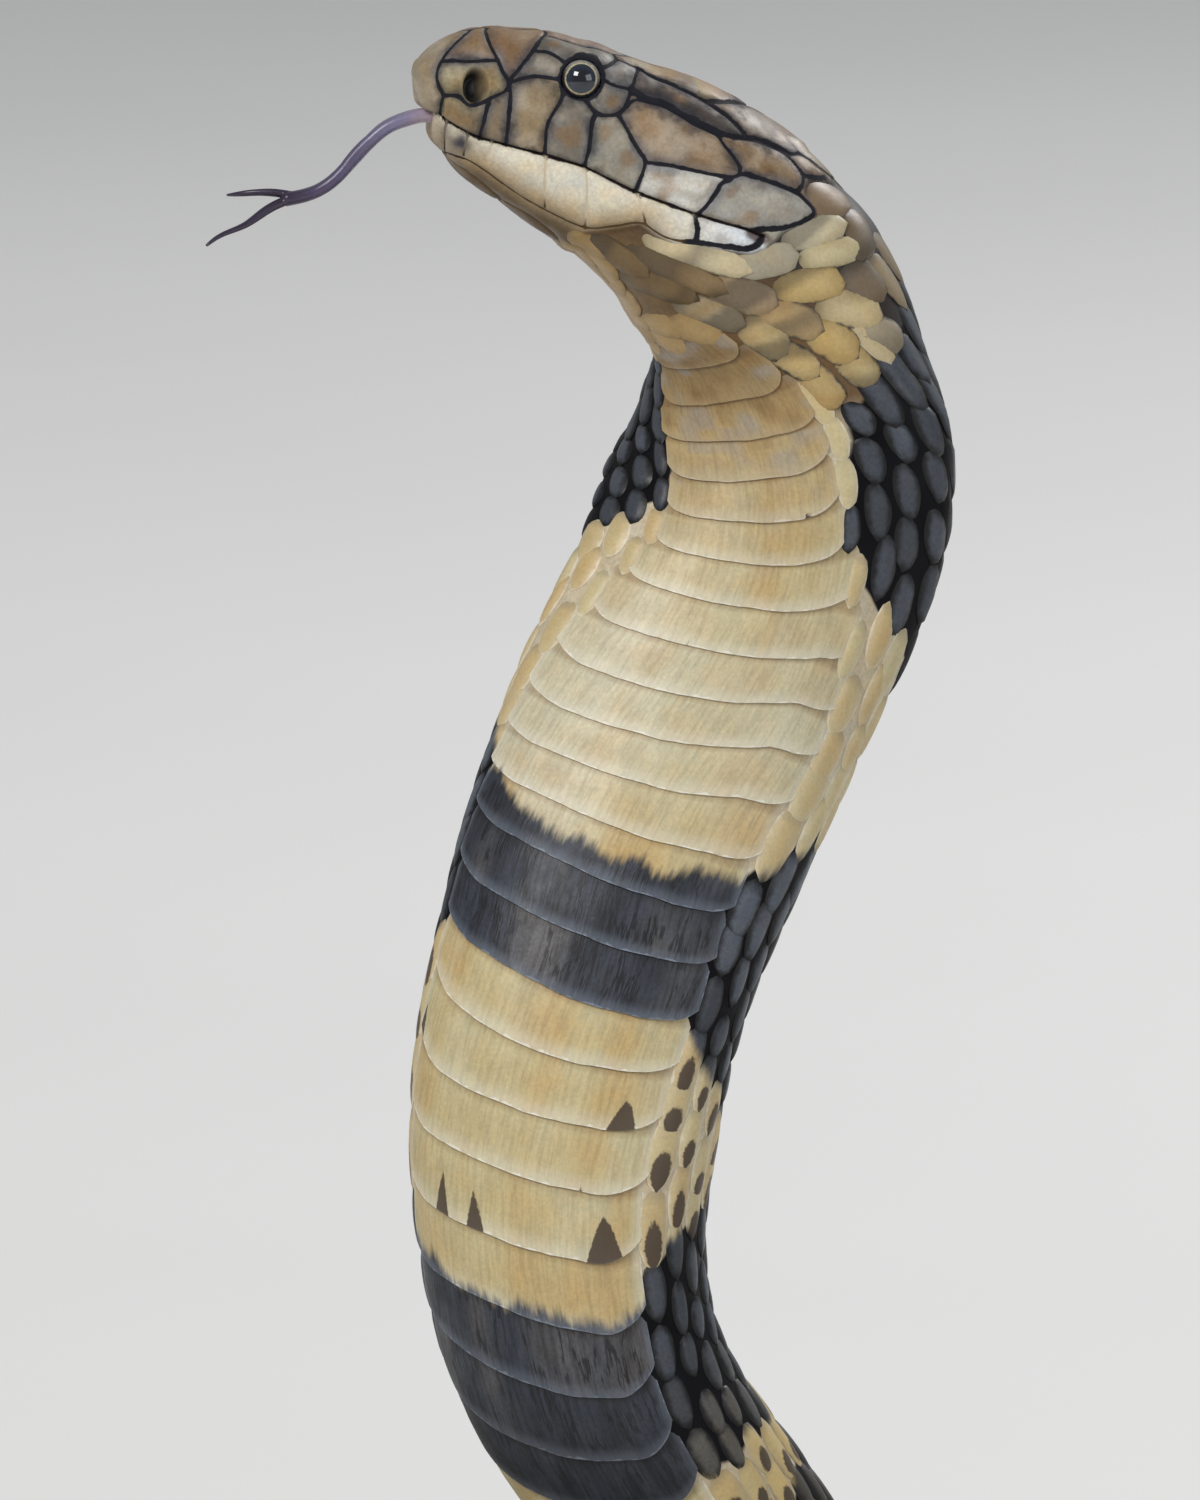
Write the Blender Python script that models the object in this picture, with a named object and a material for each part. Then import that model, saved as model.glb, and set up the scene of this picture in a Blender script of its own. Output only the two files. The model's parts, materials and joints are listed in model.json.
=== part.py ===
"""A king cobra, reared up with a narrow hood and its tongue out, life size.

The animal is one smooth sweep along its spine, from the snout to the tail tip. It is parted into named
lengths by thin cuts. Sizes are in millimetres until the last step, which makes them metres.
Origin: on the floor, under the middle of the coiled body. +Z is up, and the belly of the neck faces -Y.
"""

import math

import bmesh
import bpy
import numpy as np
from mathutils import Matrix, Vector

MM = 0.001
CUT = 0.3  # the gap between two nodes that touch
PLAN_CENTRE = np.array([53.05, 137.43, 0.0])  # the middle of the whole animal, seen from above

# ---- the head's place: its tip, and the way it points
HEAD_AT = np.array([-26.1, 11.5, 313.0])
HEAD_PITCH = math.radians(20.0)  # snout up
HEAD_YAW = math.radians(11.0)  # snout towards -Y
SNOUT = -2.1  # the snout's tip, along the head
BEND_START = 37.0  # where the neck starts to bend down, behind the jaws
BEND_RADIUS = 30.5
BEND_ANGLE = math.radians(71.0)
HEAD_END = 61.0  # the head node ends here, along the spine

# ---- the spine below the head: the raised part, then its path over the floor
RAISED = [
    (27.7, 21.5, 263.9), (26.3, 20.0, 255.5), (23.2, 18.0, 245.4), (18.2, 15.5, 234.3), (12.5, 12.5, 223.0),
    (7.4, 9.5, 211.2), (2.9, 6.5, 199.7), (-0.8, 4.0, 188.3), (-3.6, 2.0, 177.0), (-5.1, 0.5, 165.6),
    (-5.7, -0.5, 154.2), (-5.0, -0.5, 144.1), (-2.8, 0.5, 133.7), (1.0, 2.5, 124.7), (6.6, 6.0, 115.7),
    (13.4, 11.0, 106.1), (26.0, 20.5, 86.0), (44.0, 34.0, 64.0), (68.0, 52.0, 44.0), (98.0, 71.0, 29.5),
]
FLOOR_PATH = [
    (130, 91), (160, 117), (182, 152), (190, 195), (180, 240), (150, 277), (100, 297), (40, 296), (-18, 274),
    (-64, 237), (-94, 188), (-107, 132), (-104, 72), (-84, 16), (-44, -34), (12, -66), (78, -78), (144, -66),
    (202, -30), (246, 22), (272, 85), (279, 152), (269, 220), (239, 284), (189, 331), (125, 356), (55, 359),
    (-14, 345), (-76, 318), (-126, 275), (-160, 220), (-180, 160), (-187, 104), (-178, 50), (-156, 4),
]
REST = 0.93  # on the floor the spine lies this share of the belly's depth above it, so the belly is flat there

# ---- which way the belly faces on the raised part: degrees from -Y towards -X, by distance along the spine
BELLY_TURN = [
    (37, 79), (50, 70), (60, 57), (75, 34), (84, 25), (97, 9), (112, 3), (127, 6), (141, 12), (153, 13),
    (166, 9), (178, 12), (201, 22), (216, 25), (231, 34), (252, 40), (280, 48), (340, 52),
]
BELLY_DOWN = [(248, 0.0), (330, 1.0)]  # the belly turns to the floor between these

# ---- the animal's sizes by distance along the spine
HALF_WIDTH = [
    (-2.1, 2.4), (-1.5, 4.4), (0, 6.4), (2, 7.7), (5, 8.9), (8, 9.8), (12, 10.8), (16, 11.9), (20, 13.0),
    (25, 14.3), (30, 15.8), (36, 17.5), (42, 18.8), (48, 19.4), (54, 19.1), (60, 19.2), (66, 20.1), (72, 22.1),
    (78, 24.6), (84, 25.9), (91, 26.1), (101, 25.9), (114, 25.5), (127, 25.6), (140, 25.4), (153, 24.7), (165, 23.6),
    (189, 22.9), (201, 22.0), (211, 21.1), (231, 19.9), (252, 18.7), (320, 19.5), (450, 21.5), (700, 23.0), (1000, 23.5),
    (1400, 22.5), (1750, 19.0), (2000, 15.0), (2200, 11.0), (2400, 6.0), (2460, 3.9), (2490, 2.0), (2500, 0.9),
]
BACK = [  # the height of the back over the spine
    (-2.1, 5.9), (-1.5, 7.1), (0, 9.4), (1.8, 11.1), (3.6, 12.4), (5.1, 13.2), (7.2, 13.9), (9.2, 14.3),
    (11.3, 15.0), (13.4, 15.6), (17.5, 15.9), (22.6, 16.3), (29, 16.0), (37, 16.3), (45, 15.9), (53, 15.7),
    (60, 17.3), (68, 16.9), (75, 16.3), (82, 15.2), (91, 14.0), (101, 13.5), (127, 14.2), (153, 15.2),
    (189, 16.6), (231, 17.2), (320, 18.0), (450, 20.0), (700, 21.5), (1000, 22.0), (1400, 21.0), (1750, 18.0),
    (2000, 14.4), (2200, 10.6), (2400, 5.8), (2460, 3.8), (2490, 2.0), (2500, 0.9),
]
BELLY = [  # the depth of the belly or chin under the spine
    (-2.1, -3.6), (-1.1, -1.5), (-0.2, 0.0), (1.9, 0.9), (2.5, 2.4), (3.0, 3.7), (5, 5.0), (8.7, 7.3),
    (12.3, 8.6), (15.4, 9.3), (20.5, 10.8), (25.7, 12.2), (31, 14.1), (37, 16.8), (45, 19.0), (53, 19.6),
    (61, 19.4), (68, 18.6), (75, 17.4), (82, 16.6), (91, 15.6), (101, 15.0), (127, 15.4), (153, 16.6),
    (189, 17.4), (252, 17.2), (320, 18.0), (450, 19.5), (700, 20.8), (1000, 21.2), (1400, 20.2), (1750, 17.4),
    (2000, 14.0), (2200, 10.4), (2400, 5.8), (2460, 3.8), (2490, 2.0), (2500, 0.9),
]
WIDEST = [  # how far over the spine a section is widest
    (-2.1, 5.0), (0, 4.0), (2, 3.1), (8, 1.4), (15, 0.5), (22, 0.0), (2575, 0.0),
]
BOX_UP = [  # 1 is an ellipse, and less is more like a box
    (-2.1, 0.85), (3, 0.76), (25, 0.74), (45, 0.84), (65, 0.95), (101, 1.05), (160, 0.98), (2575, 1.0),
]
BOX_DOWN = [
    (-2.1, 0.9), (5, 0.9), (45, 0.92), (70, 1.0), (84, 1.35), (100, 1.6), (116, 1.45), (135, 1.1), (160, 0.94),
    (260, 0.95), (2575, 1.0),
]

# ---- belly scutes: their pitch along the spine, and how far round the body each side reaches, in degrees
SCUTE_START = 76.0
SCUTE_PITCH = [(75, 5.0), (90, 5.4), (105, 6.3), (125, 7.4), (180, 8.0), (250, 8.6), (330, 9.6), (2575, 9.6)]
SCUTE_REACH = [(75, 36), (96, 31), (105, 38), (114, 46), (127, 55), (141, 57), (2000, 56), (2575, 50)]
SCUTE_STEP = 0.7
FLOOR_START = 345.0
FLOOR_SCUTE = 20.0  # on the floor one step stands for two scutes

# ---- the node lengths below the head: name, and where each ends along the spine
LENGTHS = [
    ("hood", 146.0, 18), ("forebody", 250.0, 12), ("rise", 345.0, 10),
    ("body_1", 480.0, 9), ("body_2", 620.0, 9), ("body_3", 760.0, 9), ("body_4", 920.0, 9),
    ("body_5", 1110.0, 9), ("body_6", 1300.0, 9), ("body_7", 1490.0, 9), ("body_8", 1680.0, 9),
    ("body_9", 1880.0, 8), ("tail_1", 2080.0, 8), ("tail_2", 2290.0, 7), ("tail_3", None, 6),
]

# ---- the side of the head, seen from its own left and a little from the front. A place there is (p, q):
# p runs back along the head and q up, and both shift with the distance from the middle of the head.
SEEN_BACK = (0.978, 0.210, 0.010)
SEEN_UP = (-0.0015, -0.045, 1.0)
LIP_CUT = [  # the line of the mouth: distance along the head, height
    (-8.0, -0.95), (1.6, -0.95), (2.4, -0.75), (3.2, -0.95), (6.2, -1.5), (8.1, -1.55), (11.5, -1.25),
    (16.3, -0.7), (23.0, -0.3), (27.1, -0.8), (30.7, -1.2), (39.6, -1.3), (44.6, -1.1), (47.4, -0.8), (50.2, -1.3),
]
LIP_CUT_WIDTH = 0.36
UPPER_LIP = [  # seams between the upper lip shields, from the lip up, as places (p, q)
    [(3.4, -0.4), (3.1, 1.9)], [(9.7, -1.6), (9.3, 3.7)], [(13.6, -1.4), (12.8, 2.6), (11.7, 6.6)],
    [(19.3, -0.7), (18.5, 2.5), (18.7, 4.8), (18.9, 8.0)], [(25.4, -0.5), (25.0, 3.0), (24.6, 6.2)],
    [(33.5, -1.6), (33.7, 2.4)], [(43.3, -1.9), (44.4, 0.6), (44.9, 3.4)], [(52.0, -1.0), (57.7, 2.0), (58.6, 3.9)],
]
UPPER_TOP = {1: [(6.5, 1.8)], 3: [(15.2, 9.0)], 5: [(28.0, 7.0), (31.0, 4.6)], 7: [(48.0, 5.3), (55.4, 5.4)]}
LOWER_LIP = [  # seams between the lower lip shields, from the lip down
    [(5.6, -2.5), (6.6, -4.3)], [(8.1, -2.6), (8.6, -4.8)], [(11.8, -2.7), (12.2, -5.6)],
    [(19.8, -2.0), (20.6, -4.8), (21.8, -7.8)], [(25.8, -1.8), (27.2, -4.2), (28.2, -8.6)],
    [(34.0, -3.0), (36.4, -6.4)], [(43.0, -3.0), (43.9, -5.8)], [(51.8, -3.2), (51.0, -4.9)],
]
CHEEK = [  # the other shields of the side: nasal, preocular, two postoculars, temporals, nape
    [(0.9, 6.5), (1.3, 4.0), (3.0, 2.4), (6.4, 2.3), (8.6, 3.3), (11.2, 6.2), (9.9, 8.1), (8.4, 9.3), (4.5, 7.8)],
    [(11.6, 7.6), (15.2, 9.5), (17.3, 9.9), (17.3, 12.3), (15.2, 12.8), (13.1, 12.4)],
    [(24.4, 12.1), (28.0, 12.0), (28.1, 15.0), (24.6, 15.1)],
    [(24.6, 6.9), (28.0, 8.9), (28.3, 11.4), (25.3, 11.3), (23.9, 8.6)],
    [(28.5, 9.0), (30.8, 5.4), (33.8, 2.9), (38.5, 3.8), (44.0, 4.2), (46.8, 6.2), (43.2, 9.1), (35.9, 10.5), (29.4, 10.6)],
    [(43.0, 9.7), (46.4, 7.3), (51.6, 6.0), (55.6, 6.2), (55.6, 8.4), (52.4, 10.2), (47.0, 10.5)],
    [(30.3, 11.4), (36.0, 11.2), (44.5, 10.3), (44.6, 11.7), (39.6, 13.6), (30.4, 14.3)],
    [(39.9, 14.0), (44.8, 12.1), (48.0, 11.4), (48.4, 13.4), (42.0, 15.4)],
    [(52.8, 10.7), (56.2, 8.6), (59.4, 9.0), (56.6, 10.9)],
    [(56.5, 7.9), (56.6, 4.8), (61.0, 3.4), (64.2, 5.6), (63.0, 8.2)],
    [(59.5, 3.0), (56.6, -0.2), (60.4, -1.8), (64.5, 0.2), (64.0, 3.0)],
]
CROWN = [  # half of each pair: internasal, prefrontal, supraocular, parietal, occipital, as places (along, aside)
    [(1.2, 0.4), (0.9, 4.6), (5.6, 7.0), (6.0, 0.4)],
    [(6.8, 0.4), (6.6, 7.3), (11.4, 8.6), (13.2, 5.8), (13.2, 0.4)],
    [(14.2, 4.4), (14.0, 8.2), (17.6, 9.6), (23.4, 9.6), (23.2, 5.2)],
    [(25.8, 0.4), (24.4, 5.4), (25.0, 9.2), (34.0, 10.4), (41.0, 7.8), (42.6, 0.4)],
    [(43.6, 0.4), (42.0, 7.8), (46.0, 10.4), (53.6, 8.4), (54.0, 0.4)],
]
FRONTAL = [(14.2, 0.0), (14.2, 3.4), (19.0, 4.4), (23.6, 4.4), (25.4, 0.0)]
PLATE_GAP = 0.2  # how far each shield stays inside its seams
PLATE_UP = 0.42
PLATE_DOWN = -0.9

# ---- eye, nostril, tongue
EYE_AT = (21.15, 12.1)
EYE_RADIUS = 3.2
EYE_DEPTH = 1.75  # its centre under the skin
NOSTRIL_AT = (6.2, 5.0)
TONGUE = [  # distance along the head, sideways, height, half thickness
    (9.0, 0, -1.35, 1.1), (5.0, 0, -1.0, 1.15), (1.9, 0, -1.1, 1.25), (-1.3, 0, -2.8, 1.3), (-3.5, -0.1, -4.8, 1.25),
    (-5.1, -0.2, -7.5, 1.2), (-6.6, -0.4, -11.0, 1.15), (-8.1, -0.5, -14.4, 1.15), (-10.0, -0.6, -16.9, 1.15),
    (-12.0, -0.7, -18.4, 1.2), (-13.9, -0.8, -19.5, 1.25),
]
FORK = [  # the two tines: steps on from the tongue's end, half thickness
    [(-2.0, 0.9, -2.1, 0.7), (-4.7, 1.8, -5.4, 0.5), (-8.0, 2.7, -8.2, 0.35), (-9.3, 3.2, -9.9, 0.2)],
    [(-2.1, -1.0, 0.2, 0.7), (-5.4, -2.0, -1.2, 0.5), (-6.6, -3.0, -1.9, 0.35), (-7.4, -4.0, -2.4, 0.2)],
]

COLOURS = {  # base colour, roughness
    "crown_brown": ((0.26, 0.19, 0.11), 0.5),
    "lip_cream": ((0.72, 0.66, 0.5), 0.45),
    "belly_yellow": ((0.72, 0.58, 0.32), 0.5),
    "back_black": ((0.045, 0.045, 0.05), 0.45),
    "eye": ((0.02, 0.025, 0.035), 0.08),
    "tongue": ((0.16, 0.12, 0.2), 0.35),
}


# ------------------------------------------------------------------ smooth tables and the spine
def smooth(rows):
    """A function that runs through the rows (x, value) without overshooting."""
    x, y = np.array(rows, float).T
    step = np.diff(x)
    slope = np.diff(y) / step
    tilt = np.zeros(len(x))
    tilt[[0, -1]] = slope[[0, -1]]
    for i in range(1, len(x) - 1):
        if slope[i - 1] * slope[i] > 0:
            w1 = 2 * step[i] + step[i - 1]
            w2 = step[i] + 2 * step[i - 1]
            tilt[i] = (w1 + w2) / (w1 / slope[i - 1] + w2 / slope[i])

    def value(at):
        at = np.clip(at, x[0], x[-1])
        i = np.clip(np.searchsorted(x, at, side="right") - 1, 0, len(x) - 2)
        t = (at - x[i]) / step[i]
        start = (1 + 2 * t) * (1 - t) ** 2 * y[i] + t * (1 - t) ** 2 * step[i] * tilt[i]
        return start + t * t * (3 - 2 * t) * y[i + 1] + t * t * (t - 1) * step[i] * tilt[i + 1]

    return value


half_width, back, belly, widest = map(smooth, (HALF_WIDTH, BACK, BELLY, WIDEST))
box_up, box_down, belly_turn = map(smooth, (BOX_UP, BOX_DOWN, BELLY_TURN))
scute_pitch, scute_reach = smooth(SCUTE_PITCH), smooth(SCUTE_REACH)
lip_height = smooth(LIP_CUT)


def unit(v):
    return v / np.linalg.norm(v, axis=-1, keepdims=True)


HEAD_BACK = np.array([
    math.cos(HEAD_YAW) * math.cos(HEAD_PITCH),
    math.sin(HEAD_YAW) * math.cos(HEAD_PITCH),
    -math.sin(HEAD_PITCH),
])
HEAD_LEFT = np.array([math.sin(HEAD_YAW), -math.cos(HEAD_YAW), 0.0])
HEAD_UP = np.cross(-HEAD_BACK, HEAD_LEFT)


def in_head(x, y, z):
    """World place of a point x back from the head's origin, y to its left and z up."""
    return HEAD_AT - PLAN_CENTRE + x * HEAD_BACK + y * HEAD_LEFT + z * HEAD_UP


def spine_points():
    """The spine's points, from in front of the snout to the tail tip."""
    points = [in_head(x, 0, 0) for x in np.linspace(SNOUT - 4, BEND_START, 12)]
    for turn in np.linspace(0, BEND_ANGLE, 8)[1:]:
        x = BEND_START + BEND_RADIUS * math.sin(turn)
        z = BEND_RADIUS * (math.cos(turn) - 1)
        points.append(in_head(x, 0, z))
    points += [np.array(p) - PLAN_CENTRE for p in RAISED]
    along = SNOUT - 4 + np.linalg.norm(np.diff(points, axis=0), axis=1).sum()
    for x, y in FLOOR_PATH:
        place = np.array([x, y, 0]) - PLAN_CENTRE
        along += math.hypot(*(place - points[-1])[:2])
        place[2] = REST * belly(along)
        points.append(place)
    return np.array(points)


def spline(points, count):
    """Points on the smoothest curve through the given ones, by the length of the chords."""
    knots = np.concatenate([[0], np.cumsum(np.linalg.norm(np.diff(points, axis=0), axis=1))])
    h = np.diff(knots)
    n = len(points)
    system, right = np.eye(n), np.zeros((n, 3))
    for i in range(1, n - 1):
        system[i, i - 1 : i + 2] = h[i - 1], 2 * (h[i - 1] + h[i]), h[i]
        right[i] = 6 * ((points[i + 1] - points[i]) / h[i] - (points[i] - points[i - 1]) / h[i - 1])
    bend = np.linalg.solve(system, right)
    at = np.linspace(0, knots[-1], count)
    i = np.clip(np.searchsorted(knots, at, side="right") - 1, 0, n - 2)
    a, b = ((knots[i + 1] - at) / h[i])[:, None], ((at - knots[i]) / h[i])[:, None]
    hh = (h[i] ** 2)[:, None]
    return a * points[i] + b * points[i + 1] + ((a**3 - a) * bend[i] + (b**3 - b) * bend[i + 1]) * hh / 6


SPINE_FINE = spline(spine_points(), 9000)
ALONG = SNOUT - 4 + np.concatenate([[0], np.cumsum(np.linalg.norm(np.diff(SPINE_FINE, axis=0), axis=1))])
TAIL_TIP = ALONG[-1]
TAIL_WAY = unit(np.gradient(SPINE_FINE, axis=0))


def frames(s):
    """Centre, tailward, belly and left directions at the distances s along the spine."""
    s = np.atleast_1d(np.asarray(s, float))
    centre = np.stack([np.interp(s, ALONG, SPINE_FINE[:, k]) for k in range(3)], -1)
    tailward = unit(np.stack([np.interp(s, ALONG, TAIL_WAY[:, k]) for k in range(3)], -1))
    turn = np.radians(belly_turn(s))
    raised = np.stack([-np.sin(turn), -np.cos(turn), 0 * turn], -1)
    down = np.clip((s - BELLY_DOWN[0][0]) / (BELLY_DOWN[1][0] - BELLY_DOWN[0][0]), 0, 1)
    down = (down * down * (3 - 2 * down))[:, None]
    hint = raised * (1 - down) + np.array([0, 0, -1.0]) * down
    in_skull = np.clip((s - BEND_START) / 12, 0, 1)[:, None]
    hint = -HEAD_UP * (1 - in_skull) + hint * in_skull
    under = unit(hint - (hint * tailward).sum(-1, keepdims=True) * tailward)
    return centre, tailward, under, np.cross(under, tailward)


# ------------------------------------------------------------------ the skin
def bump(s, turn, middle, reach):
    """1 at the middle (distance along, degrees round from the belly), falling to 0 past the reach."""
    off = ((s - middle[0]) / reach[0]) ** 2 + ((np.degrees(np.abs(turn)) - middle[1]) / reach[1]) ** 2
    return np.exp(-off * 1.5)


def skin(s, turn, raise_by=0.0):
    """Points on the skin at distances s and turns round the body: 0 is the belly line, pi the back."""
    s, turn, raise_by = np.broadcast_arrays(np.asarray(s, float), np.asarray(turn, float), raise_by)
    centre, _, under, left = frames(s.ravel())
    centre, under, left = (v.reshape(s.shape + (3,)) for v in (centre, under, left))
    up = np.cos(turn) < 0
    power = np.where(up, box_up(s), box_down(s))
    side = half_width(s) * np.sign(np.sin(turn)) * np.abs(np.sin(turn)) ** np.where(up, power, np.minimum(power, 1))
    rise = np.where(up, back(s) - widest(s), belly(s) + widest(s)) * np.abs(np.cos(turn)) ** power
    depth = np.where(up, -rise, rise) - widest(s)
    swell = 0.9 * bump(s, turn, (19.0, 140), (5.5, 16)) + 0.5 * bump(s, turn, (22, 98), (26, 8))
    swell = swell + 0.9 * bump(s, turn, (46, 108), (9, 22)) - 0.5 * bump(s, turn, (13.5, 128), (4.5, 18))
    raise_by = raise_by + swell
    out = unit(np.stack([np.abs(side) * 0 + side, depth + widest(s)], -1) + 1e-9)
    place = centre + left * (side + out[..., 0] * raise_by)[..., None]
    place = place + under * (depth + out[..., 1] * raise_by)[..., None]
    return np.where(s[..., None] > FLOOR_START - 70, np.maximum(place, [-1e9, -1e9, 0]), place)


# ------------------------------------------------------------------ Blender objects
def clear_scene():
    for obj in list(bpy.data.objects):
        bpy.data.objects.remove(obj)


def collection(name):
    made = bpy.data.collections.new(name)
    bpy.context.scene.collection.children.link(made)
    return made


def material(name):
    colour, roughness = COLOURS[name]
    made = bpy.data.materials.new(name)
    made.use_nodes = True
    shader = made.node_tree.nodes["Principled BSDF"]
    shader.inputs["Base Color"].default_value = (*colour, 1)
    shader.inputs["Roughness"].default_value = roughness
    made.diffuse_color = (*colour, 1)
    return made


def mesh_object(name, points, faces, group, finish=None):
    """A mesh from points in millimetres. Points in one place become one."""
    bm = bmesh.new()
    verts = [bm.verts.new(Vector(p) * MM) for p in points]
    for face in faces:
        bm.faces.new([verts[i] for i in face])
    bmesh.ops.remove_doubles(bm, verts=bm.verts, dist=0.002 * MM)
    bmesh.ops.dissolve_degenerate(bm, edges=bm.edges, dist=0.002 * MM)
    mesh = bpy.data.meshes.new(name)
    bm.to_mesh(mesh)
    bm.free()
    obj = bpy.data.objects.new(name, mesh)
    group.objects.link(obj)
    if finish:
        mesh.materials.append(finish)
    return obj


def evaluated_mesh(obj):
    bpy.context.view_layer.update()
    return bpy.data.meshes.new_from_object(obj.evaluated_get(bpy.context.evaluated_depsgraph_get()))


def boolean(obj, others, operation):
    """Joins the other objects to obj, or cuts them from it, and removes them."""
    modifier = obj.modifiers.new(operation.lower(), "BOOLEAN")
    modifier.operation = operation
    modifier.solver = "MANIFOLD"
    modifier.operand_type = "COLLECTION"
    modifier.collection = others
    made = evaluated_mesh(obj)
    obj.modifiers.clear()
    old = obj.data
    obj.data = made
    bpy.data.meshes.remove(old)
    for other in list(others.objects):
        bpy.data.objects.remove(other)
    bpy.data.collections.remove(others)


def shells(obj):
    """The mesh's separate closed surfaces, largest first, as lists of faces."""
    bm = bmesh.new()
    bm.from_mesh(obj.data)
    left, found = set(bm.faces), []
    while left:
        heap, shell = [left.pop()], []
        while heap:
            face = heap.pop()
            shell.append(face)
            near = {f for e in face.edges for f in e.link_faces} & left
            left -= near
            heap += near
        found.append(shell)
    found.sort(key=lambda shell: -sum(f.calc_area() for f in shell))
    as_numbers = []
    for shell in found:
        verts = list({v for f in shell for v in f.verts})
        index = {v: i for i, v in enumerate(verts)}
        as_numbers.append(([v.co / MM for v in verts], [[index[v] for v in f.verts] for f in shell]))
    bm.free()
    return as_numbers


def shade(obj):
    obj.data.shade_smooth()
    obj.data.set_sharp_from_angle(angle=math.radians(35))


# ------------------------------------------------------------------ the body below the head
def ring_turns(s, back_parts):
    """Turns round one section: six parts over the scute, then the rest evenly over the back."""
    reach = math.radians(float(scute_reach(s)))
    over_belly = reach * np.linspace(-1, 1, 7)
    over_back = np.linspace(reach, 2 * math.pi - reach, back_parts + 1)[1:-1]
    return np.concatenate([over_belly, over_back])


def scute_stops(start, end):
    """Where the scutes of one length begin and end, spread so that they fit it."""
    stops, s = [start], start
    while s < end - 1e-6:
        pitch = FLOOR_SCUTE if s >= FLOOR_START - 1 else float(scute_pitch(s))
        if s > 2000:
            pitch *= 0.8
        s += pitch
        stops.append(s)
    stops = np.array(stops)
    return start + (stops - start) * (end - start) / (stops[-1] - start)


def body_length(name, start, end, back_parts, group, finish):
    """One closed length of the body, whose belly steps down behind each scute."""
    stops = scute_stops(start, end)
    points, faces, rings = [], [], []
    count = 6 + back_parts
    middle = np.zeros(count)
    middle[1:6] = SCUTE_STEP
    for s in stops:
        turns = ring_turns(s, back_parts)
        size = min(1.0, float(half_width(s)) / 12)
        low = len(points)
        points += list(skin(s, turns))
        points += list(skin(s, turns, middle * size))
        rings.append((low, low + count))
    around = [(j, (j + 1) % count) for j in range(count)]
    for (low, _), (_, high) in zip(rings, rings[1:]):
        faces += [(low + j, high + j, high + k, low + k) for j, k in around]
    for low, high in rings[1:-1]:
        faces += [(high + j, low + j, low + k, high + k) for j, k in around if j < 6]
    faces.append([rings[0][0] + j for j in range(count)])
    faces.append([rings[-1][1] + j for j in reversed(range(count))])
    return loft_object(name, points, faces, group, finish)


def loft_object(name, points, faces, group, finish):
    """A mesh object whose faces of no area are left out, because their corners share a place."""
    keys = {}
    index = [keys.setdefault(tuple(np.round(p, 3)), len(keys)) for p in points]
    places = [None] * len(keys)
    for i, p in zip(index, points):
        places[i] = p
    kept = []
    for face in faces:
        ring = []
        for i in (index[j] for j in face):
            if not ring or ring[-1] != i:
                ring.append(i)
        if ring[0] == ring[-1]:
            ring.pop()
        if len(set(ring)) >= 3:
            kept.append(ring)
    obj = mesh_object(name, places, kept, group, finish)
    shade(obj)
    return obj


# ------------------------------------------------------------------ the head
SIDE_ALONG, SIDE_TURN = np.meshgrid(np.arange(-2, 75, 0.25), np.linspace(0.02, math.pi - 0.02, 360), indexing="ij")
SIDE_LOCAL = (skin(SIDE_ALONG, SIDE_TURN) - in_head(0, 0, 0)) @ np.array([HEAD_BACK, HEAD_LEFT, HEAD_UP]).T


def on_side(p, q):
    """Distance along the spine and turn round it of a place (p, q) on the head's left side."""
    off = (SIDE_LOCAL @ SEEN_BACK - p) ** 2 + (SIDE_LOCAL @ SEEN_UP - q) ** 2
    best = np.unravel_index(np.argmin(off), off.shape)
    return SIDE_ALONG[best], SIDE_TURN[best]


def on_crown(x, y):
    """Distance along the head and turn round it of a place on the crown, y from its middle line."""
    turns = np.linspace(math.pi / 2, math.pi, 300)
    local = skin(np.full(300, x), turns) - in_head(0, 0, 0)
    return x, turns[int(np.argmin(np.abs(local @ HEAD_LEFT - y)))]


def plate(outline, group):
    """A raised shield over an outline of (distance, turn) places, with a sloping rim and its foot sunk in."""
    outline = np.array(outline)
    middle = outline.mean(axis=0)
    rings = [(0.55, PLATE_UP * 1.1), (0.93, PLATE_UP), (1.04, -0.1), (0.97, PLATE_DOWN)]
    count = len(outline)
    points = [skin(middle[0], middle[1], PLATE_UP * 1.15)]
    for share, height in rings:
        at = middle + (outline - middle) * share
        points += list(skin(at[:, 0], at[:, 1], height))
    points.append(skin(middle[0], middle[1], PLATE_DOWN))
    faces = []
    last = len(points) - 1
    for j in range(count):
        k = (j + 1) % count
        faces.append((0, 1 + j, 1 + k))
        for ring in range(len(rings) - 1):
            a, b = 1 + ring * count, 1 + (ring + 1) * count
            faces += [(a + j, b + j, b + k), (a + j, b + k, a + k)]
        a = 1 + (len(rings) - 1) * count
        faces.append((a + j, last, a + k))
    obj = mesh_object("plate", points, faces, group)
    turn_outward(obj)
    return obj


def turn_outward(obj):
    """Turns the faces round if the solid is inside out."""
    bm = bmesh.new()
    bm.from_mesh(obj.data)
    if bm.calc_volume(signed=True) < 0:
        bmesh.ops.reverse_faces(bm, faces=bm.faces)
    bm.to_mesh(obj.data)
    bm.free()


def split_long_sides(outline):
    """The outline with a point in the middle of each side that is over 5 mm long."""
    found = []
    for a, b in zip(outline, outline[1:] + outline[:1]):
        found.append(a)
        if math.dist(a, b) > 5:
            found.append(((a[0] + b[0]) / 2, (a[1] + b[1]) / 2))
    return found


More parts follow.
